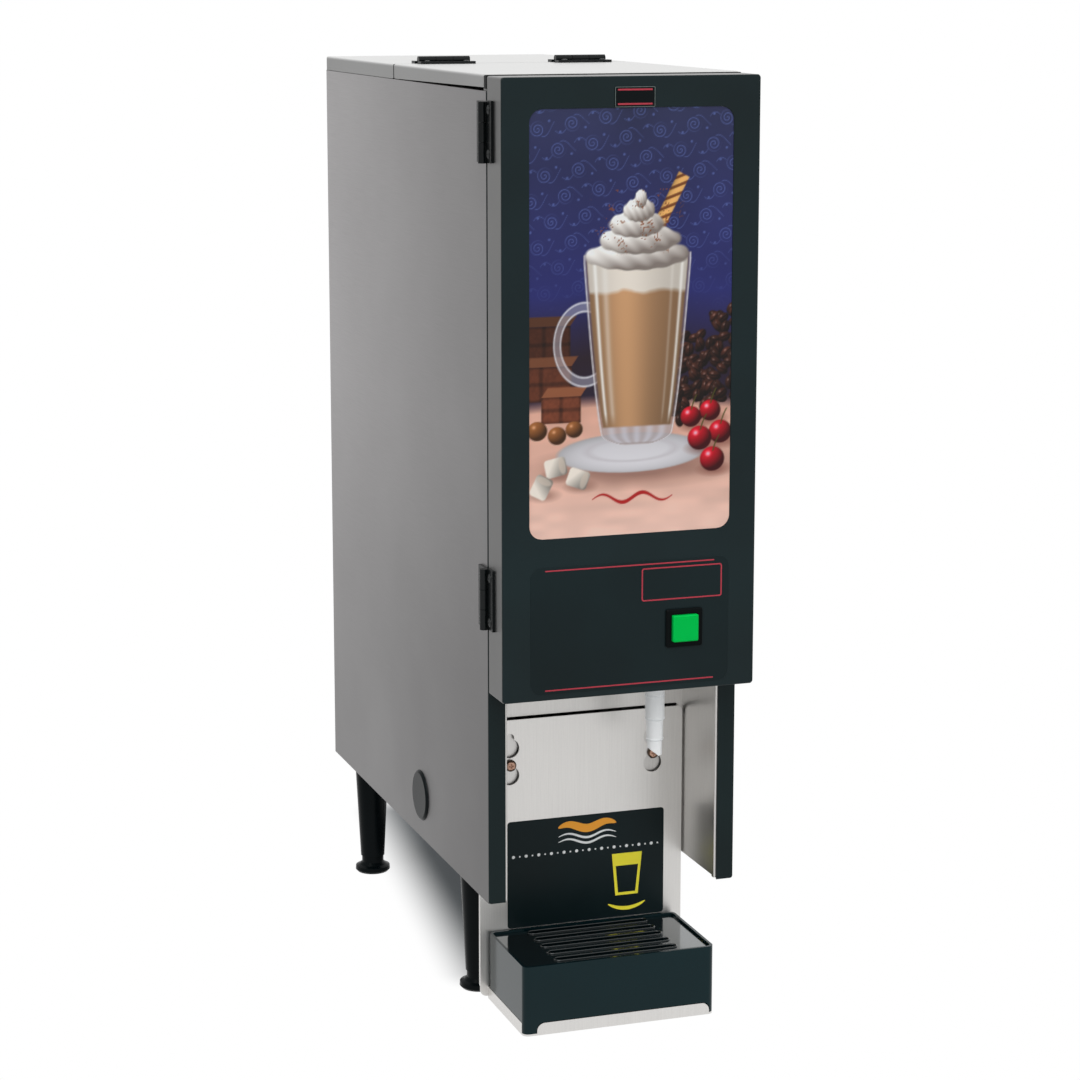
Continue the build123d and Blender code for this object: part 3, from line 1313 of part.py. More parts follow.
CORD_FLANGE = 4.0
CORD_STEM = 8.0
CORD_BORE = 4.5
with BuildPart() as cord_inlet:
    with BuildSketch(facing(CABINET_DEPTH + CORD_FLANGE)):
        with Locations((CORD_X, INLET_Z)):
            Circle(11)
    extrude(amount=CORD_FLANGE)
    with BuildSketch(facing(CABINET_DEPTH)):
        with Locations((CORD_X, INLET_Z)):
            Circle(ENTRY_RADIUS - 0.1)
    extrude(amount=CORD_STEM)
    chamfer(cord_inlet.edges().filter_by(GeomType.CIRCLE).sort_by(Axis.Y)[-1], 1.5)
    with BuildSketch(facing(CABINET_DEPTH + CORD_FLANGE)):
        with Locations((CORD_X, INLET_Z)):
            Circle(CORD_BORE)
    extrude(amount=CORD_FLANGE + CORD_STEM, mode=Mode.SUBTRACT)
finish(cord_inlet, "cord_inlet")

# ---- fan, electrics and rinse switch ----
FAN_SIZE = 80.0
FAN_DEPTH = 25.0
FAN_BACK = CABINET_DEPTH - SHEET
ROTOR_RADIUS = 34.0
FAN_GUARD = 3.0
HUB_RADIUS = 15.0
ROTOR_DEPTH = 18.0
ROTOR_BACK = FAN_BACK - FAN_GUARD - 1
SPINDLE_LENGTH = 12.0
with BuildPart() as fan_frame:
    with BuildSketch(facing(FAN_BACK)):
        with Locations((FAN_X, FAN_Z)):
            RectangleRounded(FAN_SIZE, FAN_SIZE, 5)
            Circle(ROTOR_RADIUS + 2.5, mode=Mode.SUBTRACT)
    extrude(amount=FAN_DEPTH)
    with BuildSketch(facing(FAN_BACK)):
        with Locations((FAN_X, FAN_Z)):
            Circle(HUB_RADIUS + 1)
            for spoke_turn in (45, 135):
                Rectangle(2 * ROTOR_RADIUS + 6, 4, rotation=spoke_turn)
    extrude(amount=FAN_GUARD)
    with BuildSketch(facing(FAN_BACK - FAN_GUARD)):
        with Locations((FAN_X, FAN_Z)):
            Circle(SHAFT_RADIUS - PIN_CLEARANCE)
    extrude(amount=SPINDLE_LENGTH)
finish(fan_frame, "fan_frame")

FAN_BLADES = 7
BLADE_PITCH = 38.0
BLADE_CHORD = 19.0
fan_middle = Vector(MIDDLE_X + FAN_X, MIDDLE_Y + ROTOR_BACK - ROTOR_DEPTH / 2, FAN_Z)
with BuildPart() as fan_rotor:
    with BuildSketch(facing(ROTOR_BACK)):
        with Locations((FAN_X, FAN_Z)):
            Circle(HUB_RADIUS)
    extrude(amount=ROTOR_DEPTH)
    for blade in range(FAN_BLADES):
        outward = Vector(0, 0, 1).rotate(Axis.Y, 360 * blade / FAN_BLADES)
        root = Plane(fan_middle + outward * (HUB_RADIUS - 2), x_dir=(0, 1, 0), z_dir=outward)
        with BuildSketch(root):
            Rectangle(BLADE_CHORD, 1.6, rotation=BLADE_PITCH)
        extrude(amount=ROTOR_RADIUS - HUB_RADIUS + 1)
    with BuildSketch(facing(ROTOR_BACK)):
        with Locations((FAN_X, FAN_Z)):
            Circle(SHAFT_RADIUS)
    extrude(amount=SPINDLE_LENGTH + 1, mode=Mode.SUBTRACT)
finish(fan_rotor, "fan_rotor")

BOARD_FACE = HALF_WIDTH - SHEET - 6
BOARD_THICKNESS = 1.6
BOARD_Y = 310.0
BOARD_Z = 265.0
BOARD_PARTS = (
    (-38, -38, 28, 26),
    (-3, -42, 22, 18),
    (35, -53, 34, 8),
    (-29, 16, 38, 38),
    (26, 39, 36, 28),
)
with BuildPart() as control_board:
    with BuildSketch(beside(BOARD_FACE)):
        with Locations((BOARD_Y, BOARD_Z)):
            RectangleRounded(120, 130, 3)
    extrude(amount=-BOARD_THICKNESS)
    with BuildSketch(beside(BOARD_FACE)):
        with Locations((BOARD_Y, BOARD_Z)):
            with GridLocations(108, 118, 2, 2):
                Circle(3)
    extrude(amount=HALF_WIDTH - SHEET - BOARD_FACE)
    with BuildSketch(beside(BOARD_FACE - BOARD_THICKNESS)):
        for part_y, part_z, part_length, part_height in BOARD_PARTS:
            with Locations((BOARD_Y + part_y, BOARD_Z + part_z)):
                Rectangle(part_length, part_height)
    extrude(amount=-14)
finish(control_board, "control_board")

ROCKER_PIVOT_Y = BAY_DEPTH + 5
ROCKER_TILT = 9
ROCKER_PIN = 1.5
ROCKER_CAVITY = ROCKER_HALF_WIDTH - 2
SWITCH_DEPTH = 24.0
CAVITY_DEPTH = 16.0
with BuildPart() as rinse_switch:
    with BuildSketch(facing(BAY_DEPTH)):
        with Locations((ROCKER_X, ROCKER_Z)):
            RectangleRounded(2 * ROCKER_HALF_WIDTH + 4, 2 * ROCKER_HALF_HEIGHT + 4, 2)
    extrude(amount=2)
    with BuildSketch(facing(BAY_DEPTH + SWITCH_DEPTH)):
        with Locations((ROCKER_X, ROCKER_Z)):
            Rectangle(2 * ROCKER_HALF_WIDTH - 0.4, 2 * ROCKER_HALF_HEIGHT - 0.4)
    extrude(amount=SWITCH_DEPTH)
    with BuildSketch(facing(BAY_DEPTH + CAVITY_DEPTH)):
        with Locations((ROCKER_X, ROCKER_Z)):
            Rectangle(2 * ROCKER_CAVITY, 2 * ROCKER_HALF_HEIGHT - 4)
    extrude(amount=CAVITY_DEPTH + 4, mode=Mode.SUBTRACT)
    with BuildSketch(beside(ROCKER_X - ROCKER_CAVITY)):
        with Locations((ROCKER_PIVOT_Y, ROCKER_Z)):
            Circle(ROCKER_PIN)
    extrude(amount=2 * ROCKER_CAVITY)
finish(rinse_switch, "rinse_switch")

with BuildPart() as rinse_rocker:
    with BuildSketch(beside(ROCKER_X - ROCKER_CAVITY + 0.4)):
        with Locations((ROCKER_PIVOT_Y, ROCKER_Z)):
            Polygon(
                (-9.5, -11),
                (-7.0, 0),
                (-9.5, 11),
                (1.5, 11),
                (5.0, 4),
                (5.0, -4),
                (1.5, -11),
                rotation=-ROCKER_TILT,
                align=None,
            )
    extrude(amount=2 * ROCKER_CAVITY - 0.8)
    with BuildSketch(beside(ROCKER_X - ROCKER_CAVITY)):
        with Locations((ROCKER_PIVOT_Y, ROCKER_Z)):
            Circle(ROCKER_PIN + PIN_CLEARANCE)
    extrude(amount=2 * ROCKER_CAVITY, mode=Mode.SUBTRACT)
finish(rinse_rocker, "rinse_rocker")
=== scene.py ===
import math

import bmesh
import bpy
import numpy as np
from bpy.props import FloatProperty, FloatVectorProperty, PointerProperty
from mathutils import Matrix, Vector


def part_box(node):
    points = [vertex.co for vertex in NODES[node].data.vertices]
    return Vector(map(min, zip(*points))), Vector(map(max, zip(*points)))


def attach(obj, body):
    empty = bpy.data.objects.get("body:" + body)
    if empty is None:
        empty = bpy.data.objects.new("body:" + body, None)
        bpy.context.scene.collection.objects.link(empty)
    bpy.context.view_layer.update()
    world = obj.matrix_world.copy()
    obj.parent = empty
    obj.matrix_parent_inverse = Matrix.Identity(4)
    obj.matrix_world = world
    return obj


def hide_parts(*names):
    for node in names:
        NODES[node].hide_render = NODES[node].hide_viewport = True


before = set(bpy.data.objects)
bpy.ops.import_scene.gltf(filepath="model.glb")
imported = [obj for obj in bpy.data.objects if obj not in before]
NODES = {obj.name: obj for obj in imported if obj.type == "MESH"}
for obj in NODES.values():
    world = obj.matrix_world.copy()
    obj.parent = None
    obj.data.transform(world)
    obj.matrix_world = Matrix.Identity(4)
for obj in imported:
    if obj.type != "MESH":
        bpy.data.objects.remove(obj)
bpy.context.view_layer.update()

bl_info = {
    "name": "Hot Chocolate Dispenser",
    "version": (1, 0, 0),
    "blender": (4, 5, 0),
    "location": "View3D > Sidebar > Dispenser",
    "description": "Dresses the countertop hot chocolate dispenser and lights it",
    "category": "Object",
}

# Places of the CAD in metres. Shapes are given in millimetres, see placed().
MM = 1000
MIDDLE_X = (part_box("side_panel_left")[0].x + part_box("side_panel_right")[1].x) / 2
WALL_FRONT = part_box("front_frame")[0].y
CABINET_DEPTH = 0.446
WINDOW_LOW, WINDOW_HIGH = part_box("display_lens")
WINDOW_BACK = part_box("display_film")[1].y
WINDOW_CORNER = 0.0099
DOOR_FRONT = (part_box("door_face")[0].y - WALL_FRONT) * MM
SPLASH_FRONT = (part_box("drip_tray")[1].y - WALL_FRONT) * MM + 1.1
GRILLE_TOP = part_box("drip_grille")[1].z * MM
PRINT_THICK = 0.08


# ---------------------------------------------------------------- properties


COLOUR = {"subtype": "COLOR", "size": 3, "min": 0, "max": 1}


class DispenserFinish(bpy.types.PropertyGroup):
    """Colours and sizes of the dispenser that a user may change."""

    side_steel: FloatVectorProperty(
        name="Side steel", description="Brushed stainless of the cabinet walls",
        default=(0.60, 0.584, 0.588), **COLOUR)
    top_steel: FloatVectorProperty(
        name="Top steel", description="Brushed stainless of the lid and the rear top",
        default=(0.745, 0.745, 0.737), **COLOUR)
    bay_steel: FloatVectorProperty(
        name="Bay steel", description="Brushed stainless of the splash plate and tray shelf",
        default=(0.695, 0.682, 0.663), **COLOUR)
    door_black: FloatVectorProperty(
        name="Door black", description="Textured black of the door",
        default=(0.0075, 0.0165, 0.0185), **COLOUR)
    button_green: FloatVectorProperty(
        name="Button green", description="Dispense button",
        default=(0.0, 0.58, 0.085), **COLOUR)
    line_red: FloatVectorProperty(
        name="Line red", description="Printed lines on the door",
        default=(0.50, 0.045, 0.07), **COLOUR)
    symbol_yellow: FloatVectorProperty(
        name="Symbol yellow", description="Cup symbol on the splash plate",
        default=(1.0, 0.87, 0.055), **COLOUR)
    print_cell: FloatProperty(
        name="Print cell", description="Width of one cell of the display picture",
        unit="LENGTH", min=0.0004, max=0.01, default=0.00071)
    print_gloss: FloatProperty(
        name="Picture gloss", description="Weight of the clear sheet over the picture",
        subtype="FACTOR", min=0, max=1, default=0.22)


class DispenserStage(bpy.types.PropertyGroup):
    """Camera and light."""

    camera_place: FloatVectorProperty(
        name="Camera place", description="Where the camera stands",
        subtype="TRANSLATION", unit="LENGTH", size=3, default=(-0.7151, -2.1466, 0.7880))
    camera_turn: FloatVectorProperty(
        name="Camera turn", description="Camera rotation",
        subtype="EULER", unit="ROTATION", size=3,
        default=(math.radians(79.69), 0.0, math.radians(-18.87)))
    camera_lens: FloatProperty(
        name="Lens", description="Focal length in millimetres", default=94.82, min=10, max=300)
    camera_rise: FloatProperty(
        name="Lens rise", description="Vertical shift of the lens", default=-0.05)
    key_strength: FloatProperty(
        name="Key light", description="Strength of the large light above", default=1.55, min=0)
    fill_strength: FloatProperty(
        name="Fill light", description="Light from all round", default=0.5, min=0)
    left_share: FloatProperty(
        name="Left side", description="How bright the studio's left side is in reflections",
        subtype="FACTOR", default=0.62, min=0, max=1)


# --------------------------------------------------------------- shader nodes


FLOAT = "NodeSocketFloat"


def feed(tree, value, socket):
    """Links the socket to another one, or sets its value. A colour is a triple."""
    if isinstance(value, bpy.types.NodeSocket):
        tree.links.new(value, socket)
    elif socket.type == "RGBA":
        socket.default_value = (*value, 1)
    else:
        socket.default_value = value


def add_node(tree, kind, **settings):
    """A shader node with its settings; in_Name or in_0 gives an input a value or a link."""
    node = tree.nodes.new("ShaderNode" + kind)
    for key, value in settings.items():
        if key.startswith("in_"):
            label = key[3:].replace("_", " ")
            feed(tree, value, node.inputs[int(label) if label.isdigit() else label])
        else:
            setattr(node, key, value)
    return node


def new_group(name, inputs, *outputs):
    """An empty shader node group with float sockets, what it is given and its results."""
    group = bpy.data.node_groups.new(name, "ShaderNodeTree")
    for label, value in inputs.items():
        socket = group.interface.new_socket(name=label, in_out="INPUT", socket_type=FLOAT)
        socket.default_value = value
    for label in outputs:
        group.interface.new_socket(name=label, in_out="OUTPUT", socket_type=FLOAT)
    given = group.nodes.new("NodeGroupInput").outputs
    return group, given, group.nodes.new("NodeGroupOutput").inputs


def maths(tree, operation, first, second, clamp=False):
    """One Math node on two sockets or numbers."""
    return add_node(tree, "Math", operation=operation, use_clamp=clamp, in_0=first,
                    in_1=second).outputs[0]


def vector_maths(tree, operation, first, second=(0, 0, 0)):
    """One Vector Math node on two sockets or triples."""
    node = add_node(tree, "VectorMath", operation=operation, in_0=first, in_1=second)
    return node.outputs["Value" if operation == "LENGTH" else "Vector"]


def object_place(tree):
    """Object coordinates."""
    return add_node(tree, "TexCoord").outputs["Object"]


def parts_of(tree, vector):
    """A vector's X, Y and Z."""
    return add_node(tree, "SeparateXYZ", in_0=vector).outputs


def noise(tree, vector, scale, detail, roughness=0.5):
    """The value of a noise at a place."""
    return add_node(tree, "TexNoise", in_Vector=vector, in_Scale=scale, in_Detail=detail,
                    in_Roughness=roughness).outputs["Fac"]


def tint(tree, factor, first, second):
    """A colour that runs from the first to the second with the factor."""
    return add_node(tree, "Mix", data_type="RGBA", in_Factor=factor, in_A=first,
                    in_B=second).outputs["Result"]


def spread(tree, value, low, high, start=0.0, end=1.0, curve="LINEAR"):
    """Map Range from low..high to start..end."""
    return add_node(tree, "MapRange", interpolation_type=curve, in_Value=value,
                    in_From_Min=low, in_From_Max=high, in_To_Min=start,
                    in_To_Max=end).outputs["Result"]


NOISE_RANGE = (0.3, 0.7)  # where most of a noise's values lie


def about(tree, value, middle, reach):
    """A noise's value, spread by the reach to each side of the middle."""
    return spread(tree, value, *NOISE_RANGE, middle - reach, middle + reach)


def scaled(colour, factor):
    """A colour with each part multiplied, kept within 0 and 1."""
    return tuple(min(1.0, max(0.0, part * factor)) for part in colour)


# ------------------------------------------------------------ shader effects


def brushed_group():
    """Brushing: long fine streaks with a finer speckle, and slow patches.

    Position is squeezed across the brushing and stretched along it before the noise,
    so the streaks run along the axis whose stretch is small.
    """
    group, given, results = new_group(
        "Brushed grain", {"Stretch X": 900, "Stretch Y": 30, "Stretch Z": 900, "Speckle": 0.35},
        "Streak", "Patch")
    place = object_place(group)
    stretch = add_node(group, "CombineXYZ", in_0=given[0], in_1=given[1], in_2=given[2])
    stretched = vector_maths(group, "MULTIPLY", place, stretch.outputs[0])
    fine = noise(group, place, scale=1500.0, detail=2.0)
    speckle = maths(group, "MULTIPLY", fine, given["Speckle"])
    rest = maths(group, "SUBTRACT", 1.0, given["Speckle"])
    long = noise(group, stretched, scale=1.0, detail=4.0, roughness=0.6)
    fibres = maths(group, "MULTIPLY", long, rest)
    feed(group, maths(group, "ADD", fibres, speckle), results["Streak"])
    feed(group, noise(group, place, scale=7.0, detail=3.0), results["Patch"])
    return group


def pebble_group():
    """Moulded or powder-coated skin: small round pebbles over slow patches."""
    group, given, results = new_group("Pebbled skin", {"Pebbles per metre": 1400}, "Height",
                                      "Patch")
    place = object_place(group)
    pebbles = noise(group, place, scale=given[0], detail=2.0, roughness=0.55)
    feed(group, pebbles, results["Height"])
    feed(group, noise(group, place, scale=11.0, detail=4.0), results["Patch"])
    return group


def edge_group():
    """Worn edge mask: bright where the surface turns sharply, broken by noise."""
    group, given, results = new_group("Edge wear", {"Amount": 0.5}, "Mask")
    flat, steepness = 0.52, 12.0
    sharp = add_node(group, "NewGeometry").outputs["Pointiness"]
    ridge = maths(group, "MULTIPLY", maths(group, "SUBTRACT", sharp, flat), steepness,
                  clamp=True)
    broken = noise(group, object_place(group), scale=160.0, detail=3.0)
    worn = maths(group, "MULTIPLY", ridge, broken)
    feed(group, maths(group, "MULTIPLY", worn, given[0], clamp=True), results[0])
    return group


GROUPS = {}


def effect(tree, maker, **inputs):
    """The outputs of a shared shader group, which is built the first time it is used."""
    if maker not in GROUPS:
        GROUPS[maker] = maker()
    return add_node(tree, "Group", node_tree=GROUPS[maker], **inputs).outputs


def start_material(name, **sockets):
    """A material, its tree and its Principled shader, whose inputs are given by name."""
    material = bpy.data.materials.new(name)
    material.use_nodes = True
    tree = material.node_tree
    shader = tree.nodes["Principled BSDF"]
    for label, value in sockets.items():
        feed(tree, value, shader.inputs[label.replace("_", " ")])
    return material, tree, shader


def cover(tree, shader, colour, roughness, height, strength, distance):
    """Feeds the shader a colour, a roughness and a bump."""
    bump = add_node(tree, "Bump", in_Strength=strength, in_Distance=distance, in_Height=height)
    feed(tree, colour, shader.inputs["Base Color"])
    feed(tree, roughness, shader.inputs["Roughness"])
    feed(tree, bump.outputs["Normal"], shader.inputs["Normal"])


def painted_shade_tone(tree, colour, front, foot, low, high):
    """Painted shade: the colour darkened along the sheet where less light falls on it, to
    this share of it at the front edge and all of it at the rear, and to another share
    below low and all of it above high."""
    parts = parts_of(tree, object_place(tree))
    along = spread(tree, parts["Y"], WALL_FRONT, WALL_FRONT + CABINET_DEPTH, front, 1.0)
    up = spread(tree, parts["Z"], low, high, foot, 1.0)
    return add_node(tree, "VectorMath", operation="SCALE", in_0=colour,
                    in_Scale=maths(tree, "MULTIPLY", along, up)).outputs[0]


STRETCH_ALONG, STRETCH_ACROSS = 26.0, 1500.0


def brushed_steel(name, colour, along, roughness=0.36, speckle=0.35, contrast=0.10, painted_shade=None):
    """Brushed stainless: streaks along one axis in colour, roughness and bump, and
    painted shade along the sheet when it is asked for.
    """
    material, tree, shader = start_material(name, Metallic=1.0)
    stretch = {f"in_{place}": STRETCH_ALONG if axis == along else STRETCH_ACROSS
               for place, axis in enumerate("XYZ")}
    grain = effect(tree, brushed_group, in_Speckle=speckle, **stretch)
    tone = tint(tree, spread(tree, grain["Streak"], 0.32, 0.68),
                scaled(colour, 1 - contrast), scaled(colour, 1 + contrast))
    # Painted shade: the tone darker toward the sheet's front edge and foot.
    if painted_shade:
        tone = painted_shade_tone(tree, tone, *painted_shade)
    rough = maths(tree, "ADD", about(tree, grain["Patch"], roughness, reach=0.04),
                  about(tree, grain["Streak"], 0.0, reach=0.05))
    cover(tree, shader, tone, rough, grain["Streak"], strength=0.35, distance=0.00002)
    return material


def pebbled(name, colour, roughness=0.45, pebbles=1400.0, strength=0.4, specular=0.3,
            wear=0.0, coat=0.0, spreading=0.18, gloss=(1.0, 1.0, 1.0)):
    """Moulded plastic or powder coat: pebbles in the bump, patches in colour and sheen.
    gloss tints what it mirrors face on, and worn edges are paler."""
    material, tree, shader = start_material(
        name, Coat_Weight=coat, Coat_Roughness=0.1, Specular_Tint=gloss,
        Specular_IOR_Level=specular)
    skin = effect(tree, pebble_group, in_0=pebbles)
    tone = tint(tree, spread(tree, skin["Patch"], *NOISE_RANGE),
                scaled(colour, 1 - spreading), scaled(colour, 1 + spreading))
    if wear:
        bare = tuple(min(1.0, part * 2.2 + 0.03) for part in colour)
        tone = tint(tree, effect(tree, edge_group, in_0=wear)[0], tone, bare)
    rough = about(tree, skin["Patch"], roughness, reach=0.05)
    cover(tree, shader, tone, rough, skin["Height"], strength, distance=0.00004)
    return material


def translucent(name, colour, transmission, roughness=0.3, glow=0.0):
    """Milky plastic: part of the light goes through, with faint flow marks; the glow is a
    painted glow, an emission that stands in for light passing through a thin wall."""
    material, tree, shader = start_material(
        name, IOR=1.45, Emission_Color=colour, Emission_Strength=glow,
        Transmission_Weight=transmission)
    skin = effect(tree, pebble_group, in_0=120.0)
    tone = tint(tree, skin["Patch"], scaled(colour, 0.98), scaled(colour, 1.02))
    rough = about(tree, skin["Patch"], roughness, reach=0.015)
    cover(tree, shader, tone, rough, skin["Height"], strength=0.004, distance=0.0001)
    return material


def dress(material, *names):
    """Gives CAD nodes a material; their meshes are left alone."""
    for name in names:
        slots = NODES[name].material_slots
        if not slots:
            NODES[name].data.materials.append(material)
        for place in slots:
            place.material = material


# ------------------------------------------------------------ mesh functions


def placed(x, y, z):
    """N x 3 points in metres from millimetres across from the cabinet's middle, back
    from the side walls' front edges, and up from the table."""
    spot = np.broadcast_arrays(MIDDLE_X + x / MM, WALL_FRONT + y / MM, z / MM)
    return np.stack(spot, -1).reshape(-1, 3)


def facing_front(outline, depth):
    """The points of an outline across and up, at one depth."""
    return placed(outline[:, 0], depth, outline[:, 1])


def make_piece(name, points, faces, material, body, slot, smooth=True):
    """A mesh object from an N x 3 array and faces, which rides on a body."""
    mesh = bpy.data.meshes.new(name)
    mesh.from_pydata(np.asarray(points, float).tolist(), [], faces)
    mesh.validate()
    mesh.update()
    mesh.polygons.foreach_set("use_smooth", np.full(len(mesh.polygons), smooth))
    mesh.materials.append(material)
    piece = bpy.data.objects.new(name, mesh)
    bpy.context.scene.collection.objects.link(piece)
    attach(piece, body)
    return piece


def close_and_turn(piece):
    """Merges doubled points, closes open ends and turns the faces outward."""
    mesh = bmesh.new()
    mesh.from_mesh(piece.data)
    bmesh.ops.remove_doubles(mesh, verts=mesh.verts, dist=1e-7)
    boundary = [edge for edge in mesh.edges if edge.is_boundary]
    if boundary:
        bmesh.ops.holes_fill(mesh, edges=boundary)
    bmesh.ops.recalc_face_normals(mesh, faces=mesh.faces)
    mesh.to_mesh(piece.data)
    mesh.free()


def joined(name, parts, material, body, slot, smooth=False):
    """One piece out of several shapes, each with its points and faces."""
    points, faces, start = [], [], 0
    for some, corners in parts:
        points.append(some)
        faces += [[start + corner for corner in face] for face in corners]
        start += len(some)
    close_and_turn(make_piece(name, np.concatenate(points), faces, material, body, slot,
                              smooth))


def grid_faces(rows, columns, closed=False):
    """Quads of a grid of rows by columns points; closed joins the last column to the first."""
    row, column = np.meshgrid(np.arange(rows - 1), np.arange(columns - (not closed)),
                              indexing="ij")
    following = (column + 1) % columns
    low = row * columns
    high = low + columns
    quads = np.stack([low + column, low + following, high + following, high + column], -1)
    return quads.reshape(-1, 4).tolist()


def rounded_outline(low_x, high_x, low_z, high_z, corner, steps=8):
    """Points round a rectangle with round corners: each corner is a quarter turn of
    steps points about its own middle, anticlockwise from the lower right."""
    turn = np.linspace(0, math.pi / 2, steps)
    corners = ((high_x - corner, low_z + corner, -math.pi / 2),
               (high_x - corner, high_z - corner, 0.0),
               (low_x + corner, high_z - corner, math.pi / 2),
               (low_x + corner, low_z + corner, math.pi))
    return np.concatenate([
        np.stack([x + corner * np.cos(turn + start), z + corner * np.sin(turn + start)], -1)
        for x, z, start in corners
    ])


def shrunk(outline, inset):
    """The outline moved inward by the inset along its own normals."""
    forward = np.roll(outline, -1, 0) - np.roll(outline, 1, 0)
    forward /= np.linalg.norm(forward, axis=1)[:, None] + 1e-12
    return outline - inset * np.stack([forward[:, 1], -forward[:, 0]], -1)


def plate_mesh(outline, back, thick, bevel=0.1):
    """A flat plate facing the front: rings of the outline, one at the back, one at the
    bevel's foot and one inset at the face, joined by quads and closed by two flat ends.

    The outline is in millimetres across and up; back is how far back its rear lies.
    """
    points = np.concatenate([
        facing_front(outline, back),
        facing_front(outline, back - thick + bevel),
        facing_front(shrunk(outline, bevel), back - thick),
    ])
    count = len(outline)
    faces = grid_faces(3, count, closed=True)
    faces += [list(range(count))[::-1], list(range(2 * count, 3 * count))]
    return points, faces


def plate(name, outline, material, body, slot, back, thick, bevel=0.1):
    """One plate as a piece of its own."""
    make_piece(name, *plate_mesh(outline, back, thick, bevel), material, body, slot,
               smooth=False)


def ribbon_mesh(line, half, back, thick):
    """A flat ribbon facing the front along a line of points across and up: at each
    point a four-cornered section lies square to the line, half a width to each side."""
    forward = np.gradient(line, axis=0)
    forward /= np.linalg.norm(forward, axis=1)[:, None]
    side = np.stack([-forward[:, 1], forward[:, 0]], -1) * np.reshape(half, (-1, 1))
    rows = np.stack([
        facing_front(line + side, back), facing_front(line + side, back - thick),
        facing_front(line - side, back - thick), facing_front(line - side, back),
    ], 1)
    last = 4 * len(line)
    faces = grid_faces(len(line), 4, closed=True)
    faces += [[0, 1, 2, 3], [last - 1, last - 2, last - 3, last - 4]]
    return rows.reshape(-1, 3), faces


def band(name, outer, inner, material, body, slot, back, thick):
    """A flat closed band between two outlines of as many points, facing the front:
    a four-sided section carried round the outline."""
    rings = [(outer, back), (outer, back - thick), (inner, back - thick), (inner, back),
             (outer, back)]
    points = np.concatenate([facing_front(ring, depth) for ring, depth in rings])
    joined(name, [(points, grid_faces(5, len(outer), closed=True))], material, body, slot)


def ring_beads(name, places, material, body, slot, bead):
    """Rings about upright axes: at angle a round the axis and t round the section the
    radius is R + bead*cos(t) and the height is z + 1.6*bead*sin(t)."""
    a, t = np.meshgrid(np.linspace(0, 2 * math.pi, 49), np.arange(12) * (math.pi / 6),
                       indexing="ij")
    faces = grid_faces(*a.shape, closed=True)
    parts = []
    for x, y, z, radius in places:
        reach = radius + bead * np.cos(t)
        parts.append((placed(x + reach * np.cos(a), y + reach * np.sin(a),
                             z + 1.6 * bead * np.sin(t)), faces))
    joined(name, parts, material, body, slot, smooth=True)


def slot_beads(name, middles, material, body, slot, x, half, radius, z, bead):
    """Rounded beads round long slots: the bead's middle runs along a stadium, two half
    circles of this radius round points half a length to each side of x, and at angle t
    its section lies bead*cos(t) outward and bead*sin(t) up."""
    steps = 13
    turn = np.concatenate([np.linspace(-0.5, 0.5, steps), np.linspace(0.5, 1.5, steps)])
    turn = turn * math.pi
    end = np.repeat([1.0, -1.0], steps)
    a, t = np.meshgrid(np.append(turn, turn[0]), np.arange(10) * (math.pi / 5), indexing="ij")
    across = x + np.append(end, end[0])[:, None] * half
    reach = radius + bead * np.cos(t)
    faces = grid_faces(*a.shape, closed=True)
    parts = [(placed(across + reach * np.cos(a), y + reach * np.sin(a), z + bead * np.sin(t)),
              faces) for y in middles]
    joined(name, parts, material, body, slot, smooth=True)


# Which way a screw's own across, up and outward run when it faces so.
FACINGS = {
    "front": ((1, 0, 0), (0, 0, 1), (0, -1, 0)),
    "back": ((-1, 0, 0), (0, 0, 1), (0, 1, 0)),
    "left": ((0, -1, 0), (0, 0, 1), (-1, 0, 0)),
    "up": ((1, 0, 0), (0, -1, 0), (0, 0, 1)),
}


def screw_heads(name, places, facing, material, body, slot, radius, rise):
    """Domed screw heads with a cross recess.

    Height over the seat at radius r and angle a is rise*sqrt(1-0.9*r^2) less a recess
    where the point is near either arm of the cross, on a grid of r by a. The rim goes
    a little below the seat. The cross is given in shares of the radius and the rise.
    """
    arm_half, arm_slope, arm_length, recess, sunk = 0.13, 0.05, 0.55, 0.75, 0.3
    ring = np.concatenate([np.linspace(0, 0.6, 7), [0.75, 0.88, 0.96, 1.0, 1.0]])
    r, a = np.meshgrid(ring, np.arange(40) * (2 * math.pi / 40), indexing="ij")
    arm = np.minimum(np.abs(r * np.cos(a)), np.abs(r * np.sin(a)))
    height = rise * np.sqrt(np.clip(1 - 0.9 * r ** 2, 0, 1))
    near = np.clip((arm_half - arm) / arm_slope, 0, 1) * (r < arm_length)
    height = height - recess * rise * near
    height[-1] = -sunk
    head = np.stack([radius * r * np.cos(a), radius * r * np.sin(a), height], -1)
    head = head.reshape(-1, 3) @ np.array(FACINGS[facing], float)
    faces = grid_faces(*r.shape, closed=True)
    joined(name, [(placed(*(head + place).T), faces) for place in places], material, body,
           slot, smooth=True)


# ----------------------------------------------------------- display picture


def soft(distance, width=0.9):
    """1 inside, 0 outside, with a soft edge of this width; distance is negative inside."""
    return np.clip(0.5 - distance / width, 0, 1)


def over(base, colour, mask):
    """Lays a colour, or an array of colours, over the picture where the mask is 1."""
    return base + (np.asarray(colour, float) - base) * mask[..., None]


def toned(colour, shade):
    """A colour at each point, darker or lighter by the shade."""
    return np.asarray(colour) * shade[..., None]


def oval(u, v, x, y, wide, tall):
    """How far out a point lies from an oval's middle, 1 on its edge."""
    return np.hypot((u - x) / wide, (v - y) / tall)


def turned(u, v, x, y, angle):
    """Coordinates along and across a direction from a point."""
    cos, sin = math.cos(angle), math.sin(angle)
    return (u - x) * cos + (v - y) * sin, -(u - x) * sin + (v - y) * cos


